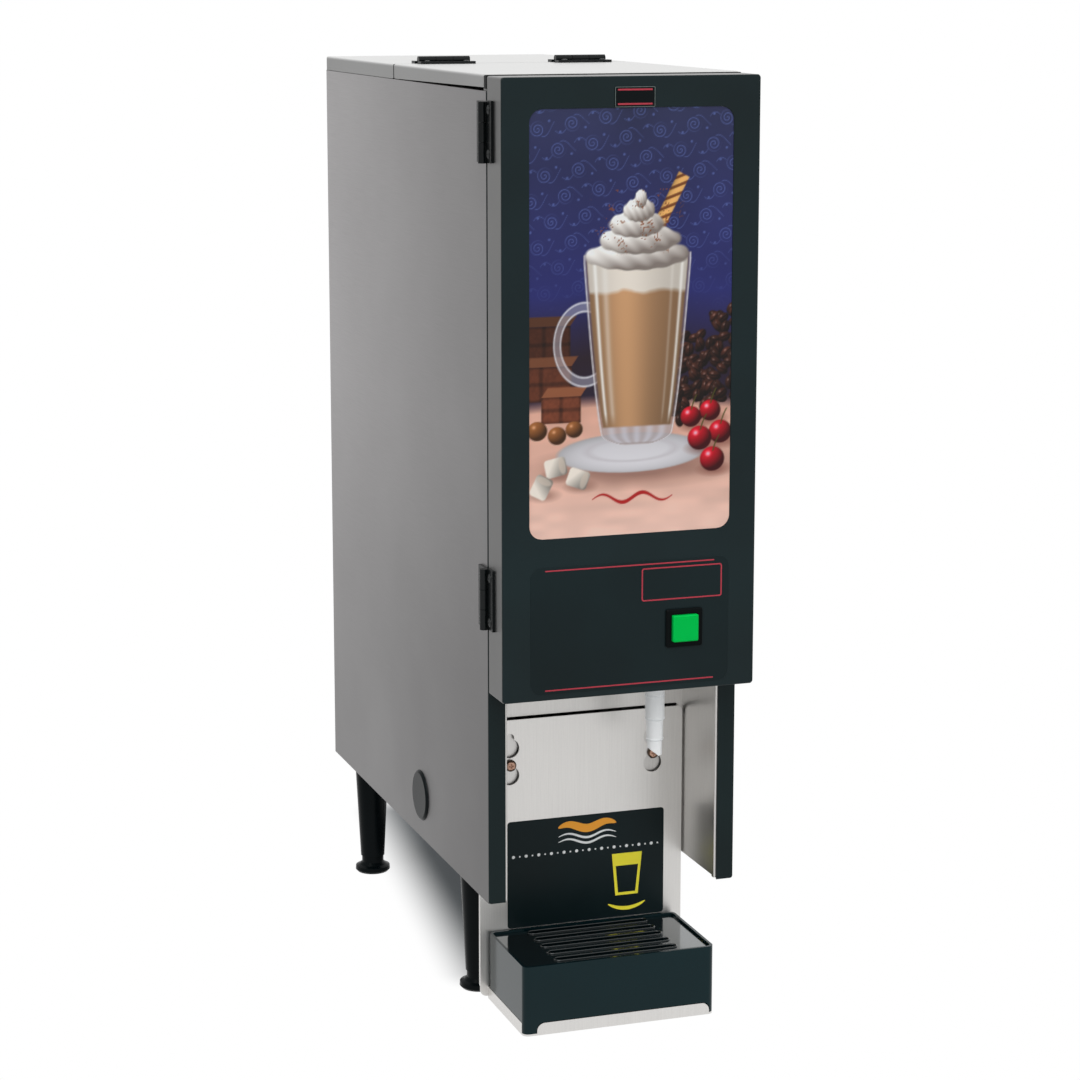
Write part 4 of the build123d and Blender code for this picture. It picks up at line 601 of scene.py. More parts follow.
def cloud(u, v, size, seed):
    """Smooth noise, 0 to 1: a lattice of seeded values joined by smoothed blending."""
    values = np.random.default_rng(seed).random((64, 64))
    x, y = u / size + 13.7, v / size + 5.3
    i, j = np.floor(x).astype(int), np.floor(y).astype(int)
    s, t = x - i, y - j
    s, t = s * s * (3 - 2 * s), t * t * (3 - 2 * t)
    i0, i1, j0, j1 = i % 64, (i + 1) % 64, j % 64, (j + 1) % 64
    return ((values[i0, j0] * (1 - s) + values[i1, j0] * s) * (1 - t)
            + (values[i0, j1] * (1 - s) + values[i1, j1] * s) * t)


def ball(picture, u, v, middle, radii, colour, turn=0.0, gloss=0.5, ambient=0.42, crease=0.0):
    """A lit ellipsoid: its normal comes from the ellipse's own coordinates, lit from the
    upper left, with a soft highlight and, for a bean, a dark crease along it."""
    cos, sin = math.cos(turn), math.sin(turn)
    a, b = turned(u, v, *middle, turn)
    a, b = a / radii[0], b / radii[1]
    reach = np.hypot(a, b)
    across = a * cos - b * sin
    up = a * sin + b * cos
    rise = np.sqrt(np.clip(1 - reach ** 2, 0, 1))
    light = np.clip(-0.45 * across + 0.62 * up + 0.64 * rise, 0, 1)
    glint = gloss * np.exp(-((across + 0.34) ** 2 + (up - 0.42) ** 2) / 0.035)
    body = toned(colour, ambient + (1.12 - ambient) * light) + 0.9 * glint[..., None]
    if crease:
        body = toned(body, 1 - crease * np.exp(-((b - 0.12 * np.sin(3 * a)) / 0.13) ** 2))
    return over(picture, body, soft((reach - 1) * min(radii), 0.8))


def curls(picture, u, v):
    """Rows of spiral curls with a wave between them, in a lighter blue.

    In each cell the line is where the radius less the turn's share of a pitch is a
    whole number of pitches, and the wave is a sine across the cell.
    """
    wide, tall, pitch = 26, 16.5, 2.5
    x, y = turned(u, v, 0, 0, math.radians(9))
    row = np.floor(y / tall)
    x = x + wide / 2 * (row % 2)
    a, b = x % wide - wide / 2, y % tall - tall / 2
    flip = np.where((np.floor(x / wide) + row) % 2 < 1, 1.0, -1.0)
    radius = np.hypot(a, b)
    turn = np.arctan2(b * flip, a) / (2 * math.pi)
    phase = (radius / pitch - turn) % 1.0
    spiral = soft(np.abs(phase - 0.5) * pitch - 0.34, 0.6) * soft(radius - 5.4, 1.6)
    wave = np.abs(b - 5.6 * flip * np.sin(2 * math.pi * a / wide + 0.6))
    tail = soft(wave - 0.33, 0.6) * soft(5.6 - radius, 1.4)
    drop = soft(np.hypot(np.abs(a) - 9.5, b + 4.5 * flip) - 0.9, 0.6)
    mask = np.maximum(np.maximum(spiral, 0.85 * tail), drop)
    return over(picture, (0.40, 0.48, 0.76), 0.62 * mask * np.clip((v - 160) / 60, 0, 1))


def backdrop(u, v):
    """Blue with curls, dark haze below it, and a pale table in front."""
    high, low = np.array((0.190, 0.205, 0.335)), np.array((0.165, 0.175, 0.46))
    rise = np.clip((v - 120) / 190, 0, 1)
    picture = low + toned(high - low, rise ** 1.3)
    picture = toned(picture, 0.93 + 0.14 * cloud(u, v, 34, 2))
    picture = curls(picture, u, v)
    haze = np.clip((176 - v) / 46, 0, 1) * (0.75 + 0.25 * cloud(u, v, 20, 9))
    picture = over(picture, (0.16, 0.10, 0.10), 0.9 * haze)
    table = np.array((0.99, 0.82, 0.755)) - toned((0.10, 0.15, 0.17), np.clip(v / 105, 0, 1))
    table = toned(table, 0.955 + 0.09 * cloud(u, v * 2.6, 15, 3))
    return over(picture, table, soft(v - 96 - 3 * np.sin(u / 40), 9))


def chocolate(picture, u, v, corner, size, shade):
    """A block of chocolate: front face with four squares, a lit top and a dark end."""
    x, z = corner
    wide, tall = size
    top = v - z - tall
    lean = 0.7 * top
    inside = np.maximum(np.maximum(x + lean - u, u - x - wide - lean),
                        np.maximum(-top, top - 7))
    picture = over(picture, np.array((0.56, 0.34, 0.23)) * shade, soft(inside))
    front = np.maximum(np.maximum(x - u, u - x - wide), np.maximum(z - v, top))
    grain = 0.92 + 0.16 * cloud(u, v, 1.7, 5)
    groove = np.abs(((u - x) % (wide / 2)) - wide / 4)
    level = np.abs(((v - z) % (tall / 2)) - tall / 4)
    square = np.clip(1.15 - 0.3 * soft(wide / 4 - 1.4 - groove, 1.5)
                     - 0.3 * soft(tall / 4 - 1.4 - level, 1.5), 0, 1.2)
    return over(picture, toned((0.40, 0.21, 0.14), shade * grain * square), soft(front))


def bean_heap(picture, u, v):
    """Roasted beans heaped at the right, the nearer ones over those behind."""
    count = 165
    spots = np.random.default_rng(11)
    for place in range(count):
        x = 98 + 66 * spots.random()
        y = 160 - 62 * (place / count) - 15 * spots.random() + 7 * np.sin(x / 11)
        tone = 0.75 + 0.5 * spots.random()
        picture = ball(picture, u, v, (x, y), (5.0, 3.4), np.array((0.25, 0.135, 0.105)) * tone,
                       turn=math.pi * spots.random(), gloss=0.33, ambient=0.3, crease=0.55)
    return picture


def still_life(picture, u, v):
    """Chocolate blocks and nuts at the left, and the heap of beans at the right."""
    for corner, size, shade in (((-9, 128), (40, 26), 0.62), ((-14, 100), (46, 25), 0.85),
                                ((9, 84), (30, 19), 1.05)):
        picture = chocolate(picture, u, v, corner, size, shade)
    picture = bean_heap(picture, u, v)
    for x, y, size in ((6, 79, 7.5), (21, 75, 7.0), (34, 79, 6.5)):
        picture = ball(picture, u, v, (x, y), (size, size * 0.93), (0.60, 0.37, 0.20),
                       gloss=0.3)
    return picture


def saucer(picture, u, v):
    """The saucer with its shadow and its well."""
    shadow = oval(u, v, 82, 50, 66, 13)
    picture = over(picture, (0.42, 0.28, 0.24), 0.55 * soft((shadow - 1) * 13, 12))
    dish = oval(u, v, 78, 60, 57, 14.5)
    shade = 0.93 - 0.18 * dish ** 4 + 0.05 * np.clip((60 - v) / 15, -1, 1)
    picture = over(picture, toned((0.96, 0.95, 0.97), shade), soft((dish - 1) * 14.5, 1.0))
    well = oval(u, v, 78, 62, 34, 8.2)
    return over(picture, (0.80, 0.78, 0.80), 0.8 * soft(np.abs(well - 1) * 8 - 0.6, 1.6))


CUP_MIDDLE, CUP_FOOT, CUP_RIM = 82.0, 66, 204


def across_cup(u, v):
    """How far a point lies across the cup, -1 and 1 on its sides, and the cup's half
    width there: a narrow round foot opens to the rim."""
    rise = np.clip((v - CUP_FOOT) / 132, 0, 1)
    belly = 24.5 + 16.5 * rise ** 0.62
    half = belly * np.sqrt(np.clip(1 - np.clip((74 - v) / 9, 0, 1) ** 2, 0, 1)) + 1e-6
    return (u - CUP_MIDDLE) / half, half


def cup(picture, u, v):
    """A glass cup: its handle, then the drink, the foam, the foot and the glints."""
    hoop = np.abs(oval(u, v, 42, 140, 21, 27) - 1) * 23
    picture = over(picture, (0.72, 0.72, 0.78), 0.55 * soft(hoop - 3.4, 1.2))
    picture = over(picture, (0.98, 0.98, 1.0), 0.8 * soft(np.abs(hoop - 2.6) - 0.45, 0.9))
    across, half = across_cup(u, v)
    side = (np.abs(across) - 1) * half
    whole = np.maximum(side, np.maximum(CUP_FOOT - v, v - CUP_RIM))
    picture = over(picture, (0.55, 0.45, 0.42), 0.6 * soft(whole, 1.0))
    inner = soft(np.maximum(side + 2.6, np.maximum(79 - v, v - 200)), 1.2)
    shade = 0.72 + 0.34 * np.exp(-((across + 0.25) / 0.52) ** 2) - 0.10 * across ** 4
    shade = shade * (0.93 + 0.07 * np.clip((v - 70) / 110, 0, 1))
    picture = over(picture, toned((0.80, 0.61, 0.44), shade), inner)
    foam = toned((0.95, 0.91, 0.86), 0.84 + 0.18 * np.exp(-((across + 0.2) / 0.6) ** 2))
    drink_top = 176 + 1.2 * np.sin(u / 5) + 1.5 * cloud(u, v, 5, 4)
    picture = over(picture, foam, inner * soft(drink_top - v, 3.5))
    foot = np.maximum(side + 1.5, np.maximum(67 - v, v - 79))
    picture = over(picture, (0.86, 0.86, 0.90), 0.75 * soft(foot, 1.5)
                   * (0.55 + 0.45 * np.cos(9 * across) ** 2))
    for spot, wide, weight in ((-0.80, 0.035, 0.9), (-0.62, 0.06, 0.4), (0.84, 0.03, 0.8),
                               (0.66, 0.03, 0.25)):
        streak = np.exp(-((across - spot) / wide) ** 2) * soft(whole + 1, 1.5)
        picture = over(picture, (1.0, 0.99, 0.97), weight * streak * soft(84 - v, 10))
    return over(picture, (0.97, 0.97, 1.0), 0.8 * soft(np.abs(side + 0.5) - 0.5, 0.9)
                * soft(CUP_FOOT - v, 1) * soft(v - CUP_RIM, 1))


def wafer(picture, u, v):
    """A striped rolled wafer behind the cream."""
    pale, brown = np.array((0.90, 0.68, 0.40)), np.array((0.45, 0.26, 0.14))
    along, side = turned(u, v, 88, 205, math.radians(62))
    roll = np.maximum(np.abs(side) - 4.6, np.maximum(-along, along - 62))
    stripes = 0.5 + 0.5 * np.sin((along + 1.1 * side) * 2 * math.pi / 8.5)
    colour = pale + toned(brown - pale, np.clip(stripes * 3 - 1.6, 0, 1))
    shade = 0.62 + 0.48 * np.sqrt(np.clip(1 - ((side + 1.2) / 6.2) ** 2, 0, 1))
    return over(picture, toned(colour, shade), soft(roll))


def cream(picture, u, v):
    """Cream in five turns, each a flattened ball with ridges, and a dust of cocoa."""
    for level, wide, tall, lean in ((203, 39.5, 11, 0.0), (214, 31, 10.5, 1.5),
                                    (225, 21.5, 9.5, -1.0), (235, 12, 8.5, 1.0),
                                    (243, 4.6, 6.5, 2.2)):
        a, b = (u - CUP_MIDDLE - lean) / wide, (v - level) / tall
        reach = np.hypot(a, b) + 0.03 * np.sin(a * 17 + level)
        rise = np.sqrt(np.clip(1 - reach ** 2, 0, 1))
        ridge = 0.05 * np.sin(a * 15 + b * 5 + level)
        light = np.clip(0.66 - 0.2 * a + 0.34 * b + 0.22 * rise + ridge, 0.5, 1.03)
        white = np.array((1.0, 0.985, 0.965)) * light[..., None] ** np.array((0.9, 1.0, 1.05))
        picture = over(picture, white, soft((reach - 1) * tall, 0.9))
    dust = cloud(u, v, 1.05, 21) * cloud(u, v, 6, 22)
    across = across_cup(u, v)[0]
    return over(picture, (0.55, 0.30, 0.17), 0.8 * soft(0.56 - dust, 0.06)
                * soft(205 - v, 4) * soft(np.abs(across) - 0.8, 0.2) * (v < 250))


def marshmallow(picture, u, v, x, y, turn):
    """A soft white drum seen from its side, with its shadow: rounded oblong, lit end."""
    shadow = (oval(u, v, x + 2, y - 6, 10, 4) - 1) * 4
    picture = over(picture, (0.50, 0.34, 0.29), 0.45 * soft(shadow, 4))
    a, b = turned(u, v, x, y, turn)
    reach = np.hypot(np.maximum(np.abs(a) - 5.6, 0), np.maximum(np.abs(b) - 4.2, 0)) - 2.6
    light = np.clip(0.86 - 0.035 * a + 0.025 * b, 0.55, 1.02)
    picture = over(picture, toned((0.97, 0.93, 0.88), light), soft(reach))
    end = (oval(a, b, 5.0, 0, 2.6, 6.2) - 1) * 2.6
    return over(picture, (0.86, 0.80, 0.74), 0.7 * soft(end))


def cherry(picture, u, v, x, y, size):
    """A cherry with its shadow and its stalk."""
    shadow = (oval(u, v, x + 2, y - size * 0.8, size * 1.15, 4.2) - 1) * 4
    picture = over(picture, (0.45, 0.24, 0.20), 0.5 * soft(shadow, 4))
    picture = ball(picture, u, v, (x, y), (size, size * 0.95), (0.80, 0.09, 0.16),
                   gloss=0.75, ambient=0.3)
    stalk = np.abs(u - x - 0.0175 * (v - y) ** 2) - 0.5
    return over(picture, (0.30, 0.30, 0.12), soft(stalk, 0.7)
                * soft(y + size * 0.6 - v, 1) * soft(v - y - size - 8, 1))


def paint_display(u, v):
    """The whole picture at u, v millimetres from its lower left corner, as sRGB."""
    picture = backdrop(u, v)
    for layer in (still_life, saucer, cup, wafer, cream):
        picture = layer(picture, u, v)
    for spot in ((20, 52, 0.2), (37, 43, -0.35), (9, 38, 1.1)):
        picture = marshmallow(picture, u, v, *spot)
    for spot in ((139, 88, 8.2), (124, 84, 8.0), (147, 72, 9.0), (131, 68, 9.4),
                 (141, 52, 9.6)):
        picture = cherry(picture, u, v, *spot)
    # A red flourish low on the table.
    bend = np.clip((u - 48) / 62, 0, 1)
    line = 27 + 3.2 * np.sin(bend * 4 * math.pi)
    stroke = np.abs(v - line) - (0.35 + 1.15 * np.sin(math.pi * bend))
    return over(picture, (0.72, 0.13, 0.13), soft(stroke, 0.8) * (u > 48) * (u < 110))


def to_linear(colour):
    """sRGB to linear light."""
    colour = np.clip(colour, 0, 1)
    return np.where(colour <= 0.04045, colour / 12.92, ((colour + 0.055) / 1.055) ** 2.4)


def painted_sheet(name, low, high, corner, back, cell, painter, material, body, slot):
    """A sheet with round corners between two corner points that faces the front and
    carries its picture as an attribute; sizes are in metres.

    Column s and row t of the grid lie at z = low + t*height and x = middle + s*w(z),
    where the half width w(z) shrinks along a circle beside each corner, so the edge
    follows the corner. The rim is carried back and closed by one face.
    """
    wide, tall = high.x - low.x, high.z - low.z
    columns, rows = int(wide / cell) + 2, int(tall / cell) + 2
    z = low.z + tall * np.linspace(0, 1, rows)
    depth = np.clip(corner - np.minimum(z - low.z, high.z - z), 0, corner)
    half = wide / 2 - corner + np.sqrt(np.clip(corner ** 2 - depth ** 2, 0, None))
    x = (low.x + high.x) / 2 + np.linspace(-1, 1, columns)[None, :] * half[:, None]
    z = np.repeat(z[:, None], columns, 1)
    face = np.stack([x, np.full_like(x, low.y), z], -1).reshape(-1, 3)
    index = np.arange(rows * columns).reshape(rows, columns)
    rim = np.concatenate([index[0, :], index[1:, -1], index[-1, -2::-1], index[-2:0:-1, 0]])
    points = np.concatenate([face, face[rim] + (0, back - low.y, 0)])
    first = np.arange(len(rim))
    second = np.roll(first, -1)
    base = len(face)
    wall = np.stack([rim, base + first, base + second, rim[second]], -1).tolist()
    faces = grid_faces(rows, columns) + wall + [(base + first[::-1]).tolist()]
    piece = make_piece(name, points, faces, material, body, slot, smooth=False)
    colours = np.ones((len(points), 4), np.float32)
    picture = painter((x - low.x) * MM, (z - low.z) * MM)
    colours[:base, :3] = to_linear(picture).reshape(-1, 3)
    colours[base:, :3] = 0.4
    layer = piece.data.color_attributes.new("Print", "FLOAT_COLOR", "POINT")
    layer.data.foreach_set("color", colours.ravel())
    return piece


# ----------------------------------------------------------------- operators


FRONT_SHARE = 0.42  # the front lamp's strength next to the key lamp's


class DISPENSER_OT_stage(bpy.types.Operator):
    """Camera, lights, world, floor and backdrop"""

    bl_idname = "dispenser.stage"
    bl_label = "Stage"

    def execute(self, context):
        stage = context.scene.dispenser_stage
        scene = context.scene
        scene.view_settings.view_transform = "Standard"
        lens = bpy.data.cameras.new("camera")
        lens.lens = stage.camera_lens
        lens.sensor_width = 36.0
        lens.shift_y = stage.camera_rise
        lens.clip_end = 50
        camera = bpy.data.objects.new("camera", lens)
        camera.location = stage.camera_place
        camera.rotation_euler = stage.camera_turn
        scene.collection.objects.link(camera)
        scene.camera = camera
        self.lamp(scene, "key", turn=(38, -14, -20), energy=stage.key_strength, angle=55)
        self.lamp(scene, "front", turn=(78, 0, 18), energy=FRONT_SHARE * stage.key_strength,
                  angle=60, mirrored=False)
        self.world(scene, stage)
        self.floor(scene, stage)
        return {"FINISHED"}

    def lamp(self, scene, name, turn, energy, angle, mirrored=True):
        """A wide, even lamp, turned in degrees, which metal mirrors or not."""
        data = bpy.data.lights.new(name, "SUN")
        data.energy = energy
        data.angle = math.radians(angle)
        lamp = bpy.data.objects.new(name, data)
        lamp.rotation_euler = [math.radians(part) for part in turn]
        lamp.visible_glossy = mirrored
        scene.collection.objects.link(lamp)

    def world(self, scene, stage):
        """White to the camera, nearly so to reflections, and an even fill elsewhere."""
        world = bpy.data.worlds.new("studio")
        world.use_nodes = True
        tree = world.node_tree
        tree.nodes.clear()
        ray = add_node(tree, "LightPath").outputs
        seen = maths(tree, "MAXIMUM", ray["Is Camera Ray"], ray["Is Transmission Ray"])
        # Reflections see the sky a little dimmer low down and at the left.
        parts = parts_of(tree, add_node(tree, "TexCoord").outputs["Generated"])
        height = spread(tree, parts["Z"], 0.0, 0.4, 0.90, 1.0)
        side = spread(tree, parts["X"], -0.5, 0.1, stage.left_share, 1.0)
        mirror = maths(tree, "MULTIPLY", maths(tree, "MULTIPLY", height, side),
                       ray["Is Glossy Ray"])
        dull = maths(tree, "SUBTRACT", 1.0, ray["Is Glossy Ray"])
        strength = maths(tree, "ADD", mirror, maths(tree, "MULTIPLY", dull, stage.fill_strength))
        chosen = add_node(tree, "Mix", data_type="FLOAT", in_Factor=seen, in_A=strength,
                          in_B=1.0)
        back = add_node(tree, "Background", in_Color=(1, 1, 1),
                        in_Strength=chosen.outputs["Result"])
        add_node(tree, "OutputWorld", in_0=back.outputs[0])
        scene.world = world

    def floor(self, scene, stage):
        """A round pale floor whose rim melts into the white background: rings of a
        polar grid, a hair below the feet, round one middle point."""
        count, level = 96, -0.0002
        ring = np.array([0.25, 0.5, 0.8, 1.2, 2.0, 4.0, 8.0])
        r, a = np.meshgrid(ring, np.arange(count) * (2 * math.pi / count), indexing="ij")
        rings = np.stack([r * np.cos(a), r * np.sin(a), np.full_like(r, level)], -1)
        points = np.concatenate([[[0, 0, level]], rings.reshape(-1, 3)])
        fan = [[0, 1 + k, 1 + (k + 1) % count] for k in range(count)]
        quads = [[1 + corner for corner in quad[::-1]]
                 for quad in grid_faces(len(ring), count, closed=True)]
        mesh = bpy.data.meshes.new("floor")
        mesh.from_pydata(points.tolist(), [], fan + quads)
        mesh.materials.append(self.floor_material(stage))
        floor = bpy.data.objects.new("floor", mesh)
        scene.collection.objects.link(floor)

    def floor_material(self, stage):
        """Dark matt round the machine, a painted shadow on top of the shadow it takes, and
        as white as the background farther out, for the camera and, a little dimmer, for
        reflections."""
        material = bpy.data.materials.new("pale floor")
        material.use_nodes = True
        tree = material.node_tree
        tree.nodes.clear()
        ray = add_node(tree, "LightPath").outputs
        place = object_place(tree)
        # How far a point lies outside the painted shadow, a turned rectangle under the middle of
        # the machine.
        turned_place = add_node(tree, "Mapping", in_0=place, in_Rotation=(0, 0, 0.117),
                                in_Location=(0.001, -0.135, 0)).outputs[0]
        painted_shadow_half, painted_shadow_fade = (0.031, 0.222, 0.0), 0.058
        outside = vector_maths(tree, "SUBTRACT", vector_maths(tree, "ABSOLUTE", turned_place),
                               painted_shadow_half)
        distance = vector_maths(tree, "LENGTH", vector_maths(tree, "MAXIMUM", outside))
        past_painted_shadow = spread(tree, distance, 0.0, painted_shadow_fade, curve="SMOOTHSTEP")
        # Painted shade, seen only in reflections: the floor darker behind the machine's left
        # side.
        parts = parts_of(tree, place)
        painted_reflection_shade = maths(tree, "MULTIPLY", spread(tree, parts["X"], -0.12, -0.40),
                       spread(tree, parts["Y"], -0.16, 0.10))
        side = spread(tree, painted_reflection_shade, 0.0, 1.0, 0.95, stage.left_share)
        mirrored = maths(tree, "MULTIPLY", ray["Is Glossy Ray"], side)
        glow = add_node(tree, "Emission", in_Color=(1, 1, 1), in_Strength=maths(
            tree, "MAXIMUM", ray["Is Camera Ray"], mirrored))
        # Painted shadow: the floor's own dark colour under the machine.
        painted_shadow_matt = add_node(tree, "BsdfDiffuse", in_Color=(0.20, 0.215, 0.225))
        visible = maths(tree, "MAXIMUM", ray["Is Camera Ray"], ray["Is Glossy Ray"])
        mix = add_node(tree, "MixShader", in_0=maths(tree, "MULTIPLY", past_painted_shadow, visible),
                       in_1=painted_shadow_matt.outputs[0], in_2=glow.outputs[0])
        add_node(tree, "OutputMaterial", in_0=mix.outputs[0])
        return material


class DISPENSER_OT_cabinet(bpy.types.Operator):
    """Brushed walls, top, frame, plug, legs and inner sheets"""

    bl_idname = "dispenser.cabinet"
    bl_label = "Cabinet"

    def execute(self, context):
        finish = context.scene.dispenser_finish
        # Painted shade: the walls darker toward their front edge and toward their foot.
        dress(brushed_steel("side_steel", finish.side_steel, "Y", roughness=0.40, speckle=0.6,
                            contrast=0.13, painted_shade=(0.57, 0.44, 0.10, 0.45)),
              "side_panel_left", "side_panel_right", "back_panel")
        # Painted shade: the side flanges of the lid and rear top darker than the top.
        dress(brushed_steel("top_steel", finish.top_steel, "X", roughness=0.38, contrast=0.06,
                            painted_shade=(1.0, 0.61, 0.7122, 0.7141)),
              "rear_top_panel", "lid")
        # Painted shade: the liner is the bay's steel darkened to 0.88, standing in for the shade
        # inside the bay.
        dress(brushed_steel("liner_steel", scaled(finish.bay_steel, 0.88), "Z",
                            contrast=0.08), "bay_liner")
        dress(brushed_steel("zinc_sheet", (0.50, 0.51, 0.52), "Y", roughness=0.45,
                            speckle=0.9, contrast=0.2), "equipment_deck", "base_pan")
        dress(pebbled("front_strip", (0.0060, 0.0135, 0.0145), roughness=0.42, specular=0.16),
              "front_frame")
        dress(pebbled("plug_black", (0.008, 0.011, 0.012), roughness=0.20, specular=0.06,
                      strength=0.1), "side_plug")
        dress(pebbled("leg_black", (0.0016, 0.0034, 0.0042), roughness=0.24, specular=0.07,
                      pebbles=900.0, strength=0.15), "legs", "foot_front_left",
              "foot_front_right", "foot_rear_left", "foot_rear_right")
        dress(translucent("bumper_rubber", (0.85, 0.85, 0.84), 0.25, roughness=0.4),
              "lid_bumpers")
        return {"FINISHED"}


class DISPENSER_OT_door(bpy.types.Operator):
    """Black door, its steel sides, inner cover, lamp, button and hinges"""

    bl_idname = "dispenser.door"
    bl_label = "Door"

    def execute(self, context):
        finish = context.scene.dispenser_finish
        dress(pebbled("door_black", finish.door_black, roughness=0.46, specular=0.18,
                      pebbles=1100.0, strength=0.3), "door_face")
        # Painted shade: the door's steel sides darker toward the foot.
        dress(brushed_steel("door_steel", (0.275, 0.273, 0.271), "Z", roughness=0.42,
                            speckle=0.6, painted_shade=(1.0, 0.84, 0.26, 0.50)), "door_shell")
        dress(pebbled("white_enamel", (0.72, 0.72, 0.70), roughness=0.4, specular=0.45,
                      pebbles=500.0, strength=0.1, spreading=0.02), "door_back_cover")
        dress(translucent("lamp_glass", (0.92, 0.93, 0.93), 0.1, roughness=0.2), "lamp_tube")
        dress(pebbled("white_plastic", (0.74, 0.74, 0.72), specular=0.4, strength=0.15,
                      spreading=0.03), "lamp_holders", "auger", "whipper_impeller")
        dress(pebbled("bezel_black", (0.0022, 0.0034, 0.0038), roughness=0.3, specular=0.06,
                      strength=0.12), "button_bezel", "button_switch", "door_magnet")
        material, tree, shader = start_material(
            "button_green", Specular_IOR_Level=0.07, Subsurface_Weight=0.25,
            Subsurface_Scale=0.003)
        skin = effect(tree, pebble_group, in_0=700.0)
        tone = tint(tree, skin["Patch"], scaled(finish.button_green, 0.9),
                    scaled(finish.button_green, 1.12))
        cover(tree, shader, tone, 0.3, skin["Height"], strength=0.08, distance=0.00005)
        dress(material, "button_cap")
        dress(brushed_steel("bright_wire", (0.62, 0.62, 0.61), "Z", roughness=0.25),
              "button_spring", "heating_element")
        dress(pebbled("hinge_black", (0.0022, 0.0036, 0.0040), roughness=0.24,
                      specular=0.24, pebbles=900.0, strength=0.1),
              "door_hinge_frame_leaves", "door_hinge_door_leaves",
              "lid_hinge_rear_leaves", "lid_hinge_front_leaves")
        dress(pebbled("pin_black", (0.004, 0.005, 0.005), roughness=0.3, specular=0.25,
                      strength=0.1), "hinge_pins")
        return {"FINISHED"}


class DISPENSER_OT_bay(bpy.types.Operator):
    """Splash plate with its tray, grille, studs and nozzle"""

    bl_idname = "dispenser.bay"
    bl_label = "Dispensing bay"

    def execute(self, context):
        finish = context.scene.dispenser_finish
        dress(brushed_steel("splash_steel", finish.bay_steel, "Z", roughness=0.37,
                            contrast=0.05, speckle=0.3), "tray_bracket")
        dress(pebbled("tray_black", (0.0004, 0.0080, 0.0105), roughness=0.17, specular=0.34,
                      pebbles=700.0, strength=0.01, gloss=(0.52, 0.74, 0.78)), "drip_tray")
        dress(pebbled("grille_black", (0.0016, 0.0050, 0.0062), roughness=0.13,
                      specular=0.85, pebbles=500.0, strength=0.03, coat=1.0,
                      gloss=(0.44, 0.60, 0.64)), "drip_grille")
        dress(brushed_steel("stud_copper", (0.11, 0.075, 0.055), "X", roughness=0.4),
              "hanger_studs")
        # Painted glow: the nozzle gives off light of its own, standing in for light through its
        # wall.
        dress(translucent("nozzle_milk", (0.97, 0.98, 0.985), 0.04, glow=0.14),
              "dispense_nozzle")
        rim = pebbled("rim_black", (0.004, 0.009, 0.010), roughness=0.1, specular=0.5,
                      strength=0.02, coat=0.6)
        middles = 28.9 + 15.8 * np.arange(-2, 3)
        slot_beads("slot_rims", middles, rim, "grille", "tray_black", x=2.0, half=45.3,
                   radius=3.75, z=GRILLE_TOP - 0.35, bead=0.75)
        # Painted glow, as on the nozzle.
        rings = translucent("nozzle_ring", (0.95, 0.97, 0.98), 0.04, glow=0.14)
        nozzle = (41, 20)
        levels_radii = ((258.5, 7.35), (246.5, 7.3), (228.6, 7.15), (212.4, 6.2))
        ring_beads("nozzle_rings", [(*nozzle, *ring) for ring in levels_radii], rings,
                   "cabinet", "nozzle_plastic", bead=0.5)
        return {"FINISHED"}


class DISPENSER_OT_powder_parts(bpy.types.Operator):
    """Hopper, auger drive, mixing parts and steam duct"""

    bl_idname = "dispenser.powder_parts"
    bl_label = "Powder parts"

    def execute(self, context):
        dress(translucent("hopper_plastic", (0.82, 0.84, 0.85), 0.22), "hopper")
        dress(pebbled("elbow_black", (0.012, 0.013, 0.014), roughness=0.4, specular=0.4),
              "hopper_elbow", "auger_coupling", "steam_collector")
        dress(pebbled("chamber_plastic", (0.66, 0.67, 0.66), roughness=0.36, specular=0.45,
                      strength=0.12, spreading=0.04), "whipper_chamber", "mixing_funnel")
        dress(pebbled("motor_paint", (0.05, 0.053, 0.056), roughness=0.4, specular=0.45,
                      wear=0.3), "auger_motor", "whipper_motor")
        return {"FINISHED"}


class DISPENSER_OT_water_parts(bpy.types.Operator):
    """Tank, valves and tube"""

    bl_idname = "dispenser.water_parts"
    bl_label = "Water parts"

    def execute(self, context):
        dress(brushed_steel("tank_steel", (0.56, 0.56, 0.55), "Z", roughness=0.33),
              "water_tank", "tank_lid")
        dress(pebbled("valve_plastic", (0.62, 0.60, 0.52), specular=0.4, strength=0.2,
                      spreading=0.05), "dispense_valve")
        dress(translucent("silicone_tube", (0.80, 0.80, 0.78), 0.3, roughness=0.4),
              "water_tube")
        dress(brushed_steel("brass_fitting", (0.70, 0.53, 0.27), "Y", roughness=0.3),
              "inlet_valve")
        return {"FINISHED"}


class DISPENSER_OT_electrics(bpy.types.Operator):
    """Fan, control board, switch and cord bushing"""

    bl_idname = "dispenser.electrics"
    bl_label = "Electrics"

    def execute(self, context):
        dress(pebbled("moulded_black", (0.010, 0.011, 0.0115), specular=0.4), "fan_frame",
              "fan_rotor", "cord_inlet", "rinse_switch")
        dress(pebbled("rocker_black", (0.016, 0.016, 0.017), roughness=0.22, specular=0.5,
                      strength=0.05), "rinse_rocker")
        material, tree, shader = start_material("circuit_board", Roughness=0.35)
        parts = parts_of(tree, object_place(tree))
        flat = add_node(tree, "CombineXYZ", in_X=parts["Y"], in_Y=parts["Z"])
        tracks = add_node(tree, "TexBrick", in_Vector=flat.outputs[0], in_Scale=160.0,
                          in_Color1=(0.01, 0.16, 0.06), in_Color2=(0.012, 0.12, 0.05),
                          in_Mortar=(0.05, 0.30, 0.12), in_Mortar_Size=0.03)
        feed(tree, tracks.outputs["Color"], shader.inputs["Base Color"])
        dress(material, "control_board")
        return {"FINISHED"}


